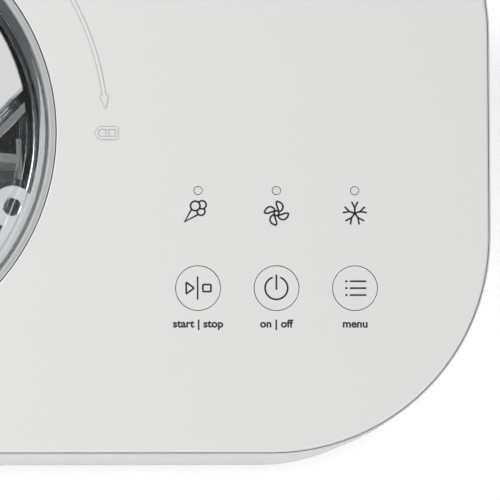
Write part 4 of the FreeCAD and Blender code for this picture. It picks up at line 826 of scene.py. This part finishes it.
buttonPlaces = [middleOf(node) for node in ("start_stop_button", "power_button", "menu_button")]
lampRow = middleOf("light_pipes")[0].y
panelTop = buttonPlaces[0][1]
markLevel = panelTop + ink["lift"]
for (place, _), makeMark in zip(buttonPlaces, (makeConeMark, makeFanMark, makeFlakeMark)):
    makeMark(Vector((place.x, lampRow)), markLevel)
for (place, _), makeMark in zip(buttonPlaces, (makePlayStopMark, makePowerMark, makeListMark)):
    makeMark(place, markLevel)
for (place, _), name in zip(buttonPlaces, labels):
    makeLabel(name, place, markLevel)
print("printed marks made")


# the cover's lip in the grey trim finish and a thin dark grey sheet on the flap's frame, along the lid's
# straight cut; both paint shade there
lidCut = {
    "turn": -45,              # degrees, from the lid's middle towards the window
    "lipFrom": 46.2 * mm,
    "lipTo": 47.15 * mm,
    "lipHigh": 1.3 * mm,      # above the clear disc at the cover, and at the outer side
    "lipLow": 0.25 * mm,
    "lipHalfLength": 73.9 * mm,
    "lipLift": 0.02 * mm,     # clear of the disc under it
    "faceFrom": 51.8 * mm,
    "faceTo": 54.9 * mm,
    "faceRadius": 87.2 * mm,
    "faceLift": 0.005 * mm,
    "faceThickness": 0.05 * mm,
    "thumbAboveFrame": 2.0 * mm,
}


def cutPoint(chord, along, level):
    turn = math.radians(lidCut["turn"])
    outwards = Vector((math.cos(turn), math.sin(turn)))
    sideways = Vector((-outwards.y, outwards.x))
    place = Vector(lidPlace) + outwards * chord + sideways * along
    return (place.x, place.y, level)


def linkPrism(name, first, last, body, material):
    # a closed bar between two matching end faces
    count = len(first)
    faces = [(i, (i + 1) % count, count + (i + 1) % count, count + i) for i in range(count)]
    faces += [tuple(range(count)), tuple(range(count, 2 * count))]
    mesh = bpy.data.meshes.new(name)
    mesh.from_pydata(first + last, [], faces)
    shape = bmesh.new()
    shape.from_mesh(mesh)
    bmesh.ops.recalc_face_normals(shape, faces=shape.faces)
    shape.to_mesh(mesh)
    shape.free()
    linkPiece(name, mesh, body, material)


def makeCoverLip():
    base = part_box("lid_cover")[0].z
    profile = [(lidCut["lipFrom"], lidCut["lipLift"]), (lidCut["lipFrom"], lidCut["lipHigh"]),
               (lidCut["lipTo"], lidCut["lipLow"]), (lidCut["lipTo"], lidCut["lipLift"])]
    ends = [[cutPoint(chord, side * lidCut["lipHalfLength"], base + rise) for chord, rise in profile]
            for side in (-1, 1)]
    # painted shade: the lip of the white cover takes the grey trim finish, for the shaded bevel of the cover
    linkPrism("cover_lip", ends[0], ends[1], "lid", materials["trim_grey"])


# painted shade: a thin dark grey sheet on the clear frame stands in for the frame's shaded look
def makeFrameFace():
    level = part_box("filler_hatch")[1].z - lidCut["thumbAboveFrame"]
    corners = []
    for chord, side in ((lidCut["faceFrom"], -1), (lidCut["faceFrom"], 1), (lidCut["faceTo"], 1),
                        (lidCut["faceTo"], -1)):
        corners.append((chord, side * math.sqrt(lidCut["faceRadius"] ** 2 - chord ** 2)))
    lower = [cutPoint(chord, along, level + lidCut["faceLift"]) for chord, along in corners]
    upper = [cutPoint(chord, along, level + lidCut["faceThickness"]) for chord, along in corners]
    linkPrism("hatch_frame_face", lower, upper, "hatch", materials["painted_frame_shade"])


makeCoverLip()
makeFrameFace()
print("lid's cut trimmed")


# floor, world and lights
studio = {
    "floorTone": (0.95, 0.95, 0.95),
    "floorSize": 12.0,
    "floorGlow": 0.33,  # light that the floor gives off itself
    "low": 0.35,        # brightness of the room near the floor
    "overhead": 0.10,   # and straight up, where the ceiling is dark
    "edges": (0.45, 0.85),
    "strength": 1.0,
}
lamps = {
    "leftBox": {"place": (-1.25, 0.7, 1.9), "aim": (-0.05, 0, 0.1), "size": 1.2, "power": 41},
    "frontBox": {"place": (-0.1, -1.5, 2.2), "aim": (0, 0, 0.1), "size": 1.4, "power": 24},
    "rightBox": {"place": (1.6, -0.9, 2.2), "aim": (0, 0, 0.1), "size": 1.3, "power": 19},
}


def makeFloor():
    material, tree, shader = startMaterial("paleFloor", studio["floorTone"])
    place = addNode(tree, "ShaderNodeTexCoord").outputs["Object"]
    cloud = noiseIn(tree, place, 3.0)
    tree.links.new(blendColours(tree, cloud, tone(studio["floorTone"], 1), tone(studio["floorTone"], 0.99)),
                   shader.inputs["Base Color"])
    shader.inputs["Roughness"].default_value = 0.7
    shader.inputs["Emission Color"].default_value = (1, 1, 1, 1)
    shader.inputs["Emission Strength"].default_value = studio["floorGlow"]
    half = studio["floorSize"] / 2
    mesh = bpy.data.meshes.new("floor")
    corners = [(-half, -half, 0), (half, -half, 0), (half, half, 0), (-half, half, 0)]
    mesh.from_pydata(corners, [], [(0, 1, 2, 3)])
    floor = bpy.data.objects.new("floor", mesh)
    mesh.materials.append(material)
    bpy.context.scene.collection.objects.link(floor)


def makeLights():
    world = bpy.data.worlds.new("studio")
    world.use_nodes = True
    tree = world.node_tree
    height = addNode(tree, "ShaderNodeSeparateXYZ", {
        "Vector": addNode(tree, "ShaderNodeTexCoord").outputs["Generated"]}).outputs["Z"]
    shade = addNode(tree, "ShaderNodeMapRange", {
        "Value": height, "From Min": studio["edges"][0], "From Max": studio["edges"][1],
        "To Min": studio["low"], "To Max": studio["overhead"]}, interpolation_type="SMOOTHSTEP")
    background = tree.nodes["Background"]
    tree.links.new(shade.outputs["Result"], background.inputs["Color"])
    background.inputs["Strength"].default_value = studio["strength"]
    bpy.context.scene.world = world
    for name, values in lamps.items():
        data = bpy.data.lights.new(name, "AREA")
        data.energy = values["power"]
        data.size = values["size"]
        lamp = bpy.data.objects.new(name, data)
        lamp.location = values["place"]
        towards = Vector(values["aim"]) - Vector(values["place"])
        lamp.rotation_euler = towards.to_track_quat("-Z", "Y").to_euler()
        bpy.context.scene.collection.objects.link(lamp)


makeFloor()
makeLights()
bpy.context.scene.view_settings.view_transform = "Standard"
print("floor and lights placed")
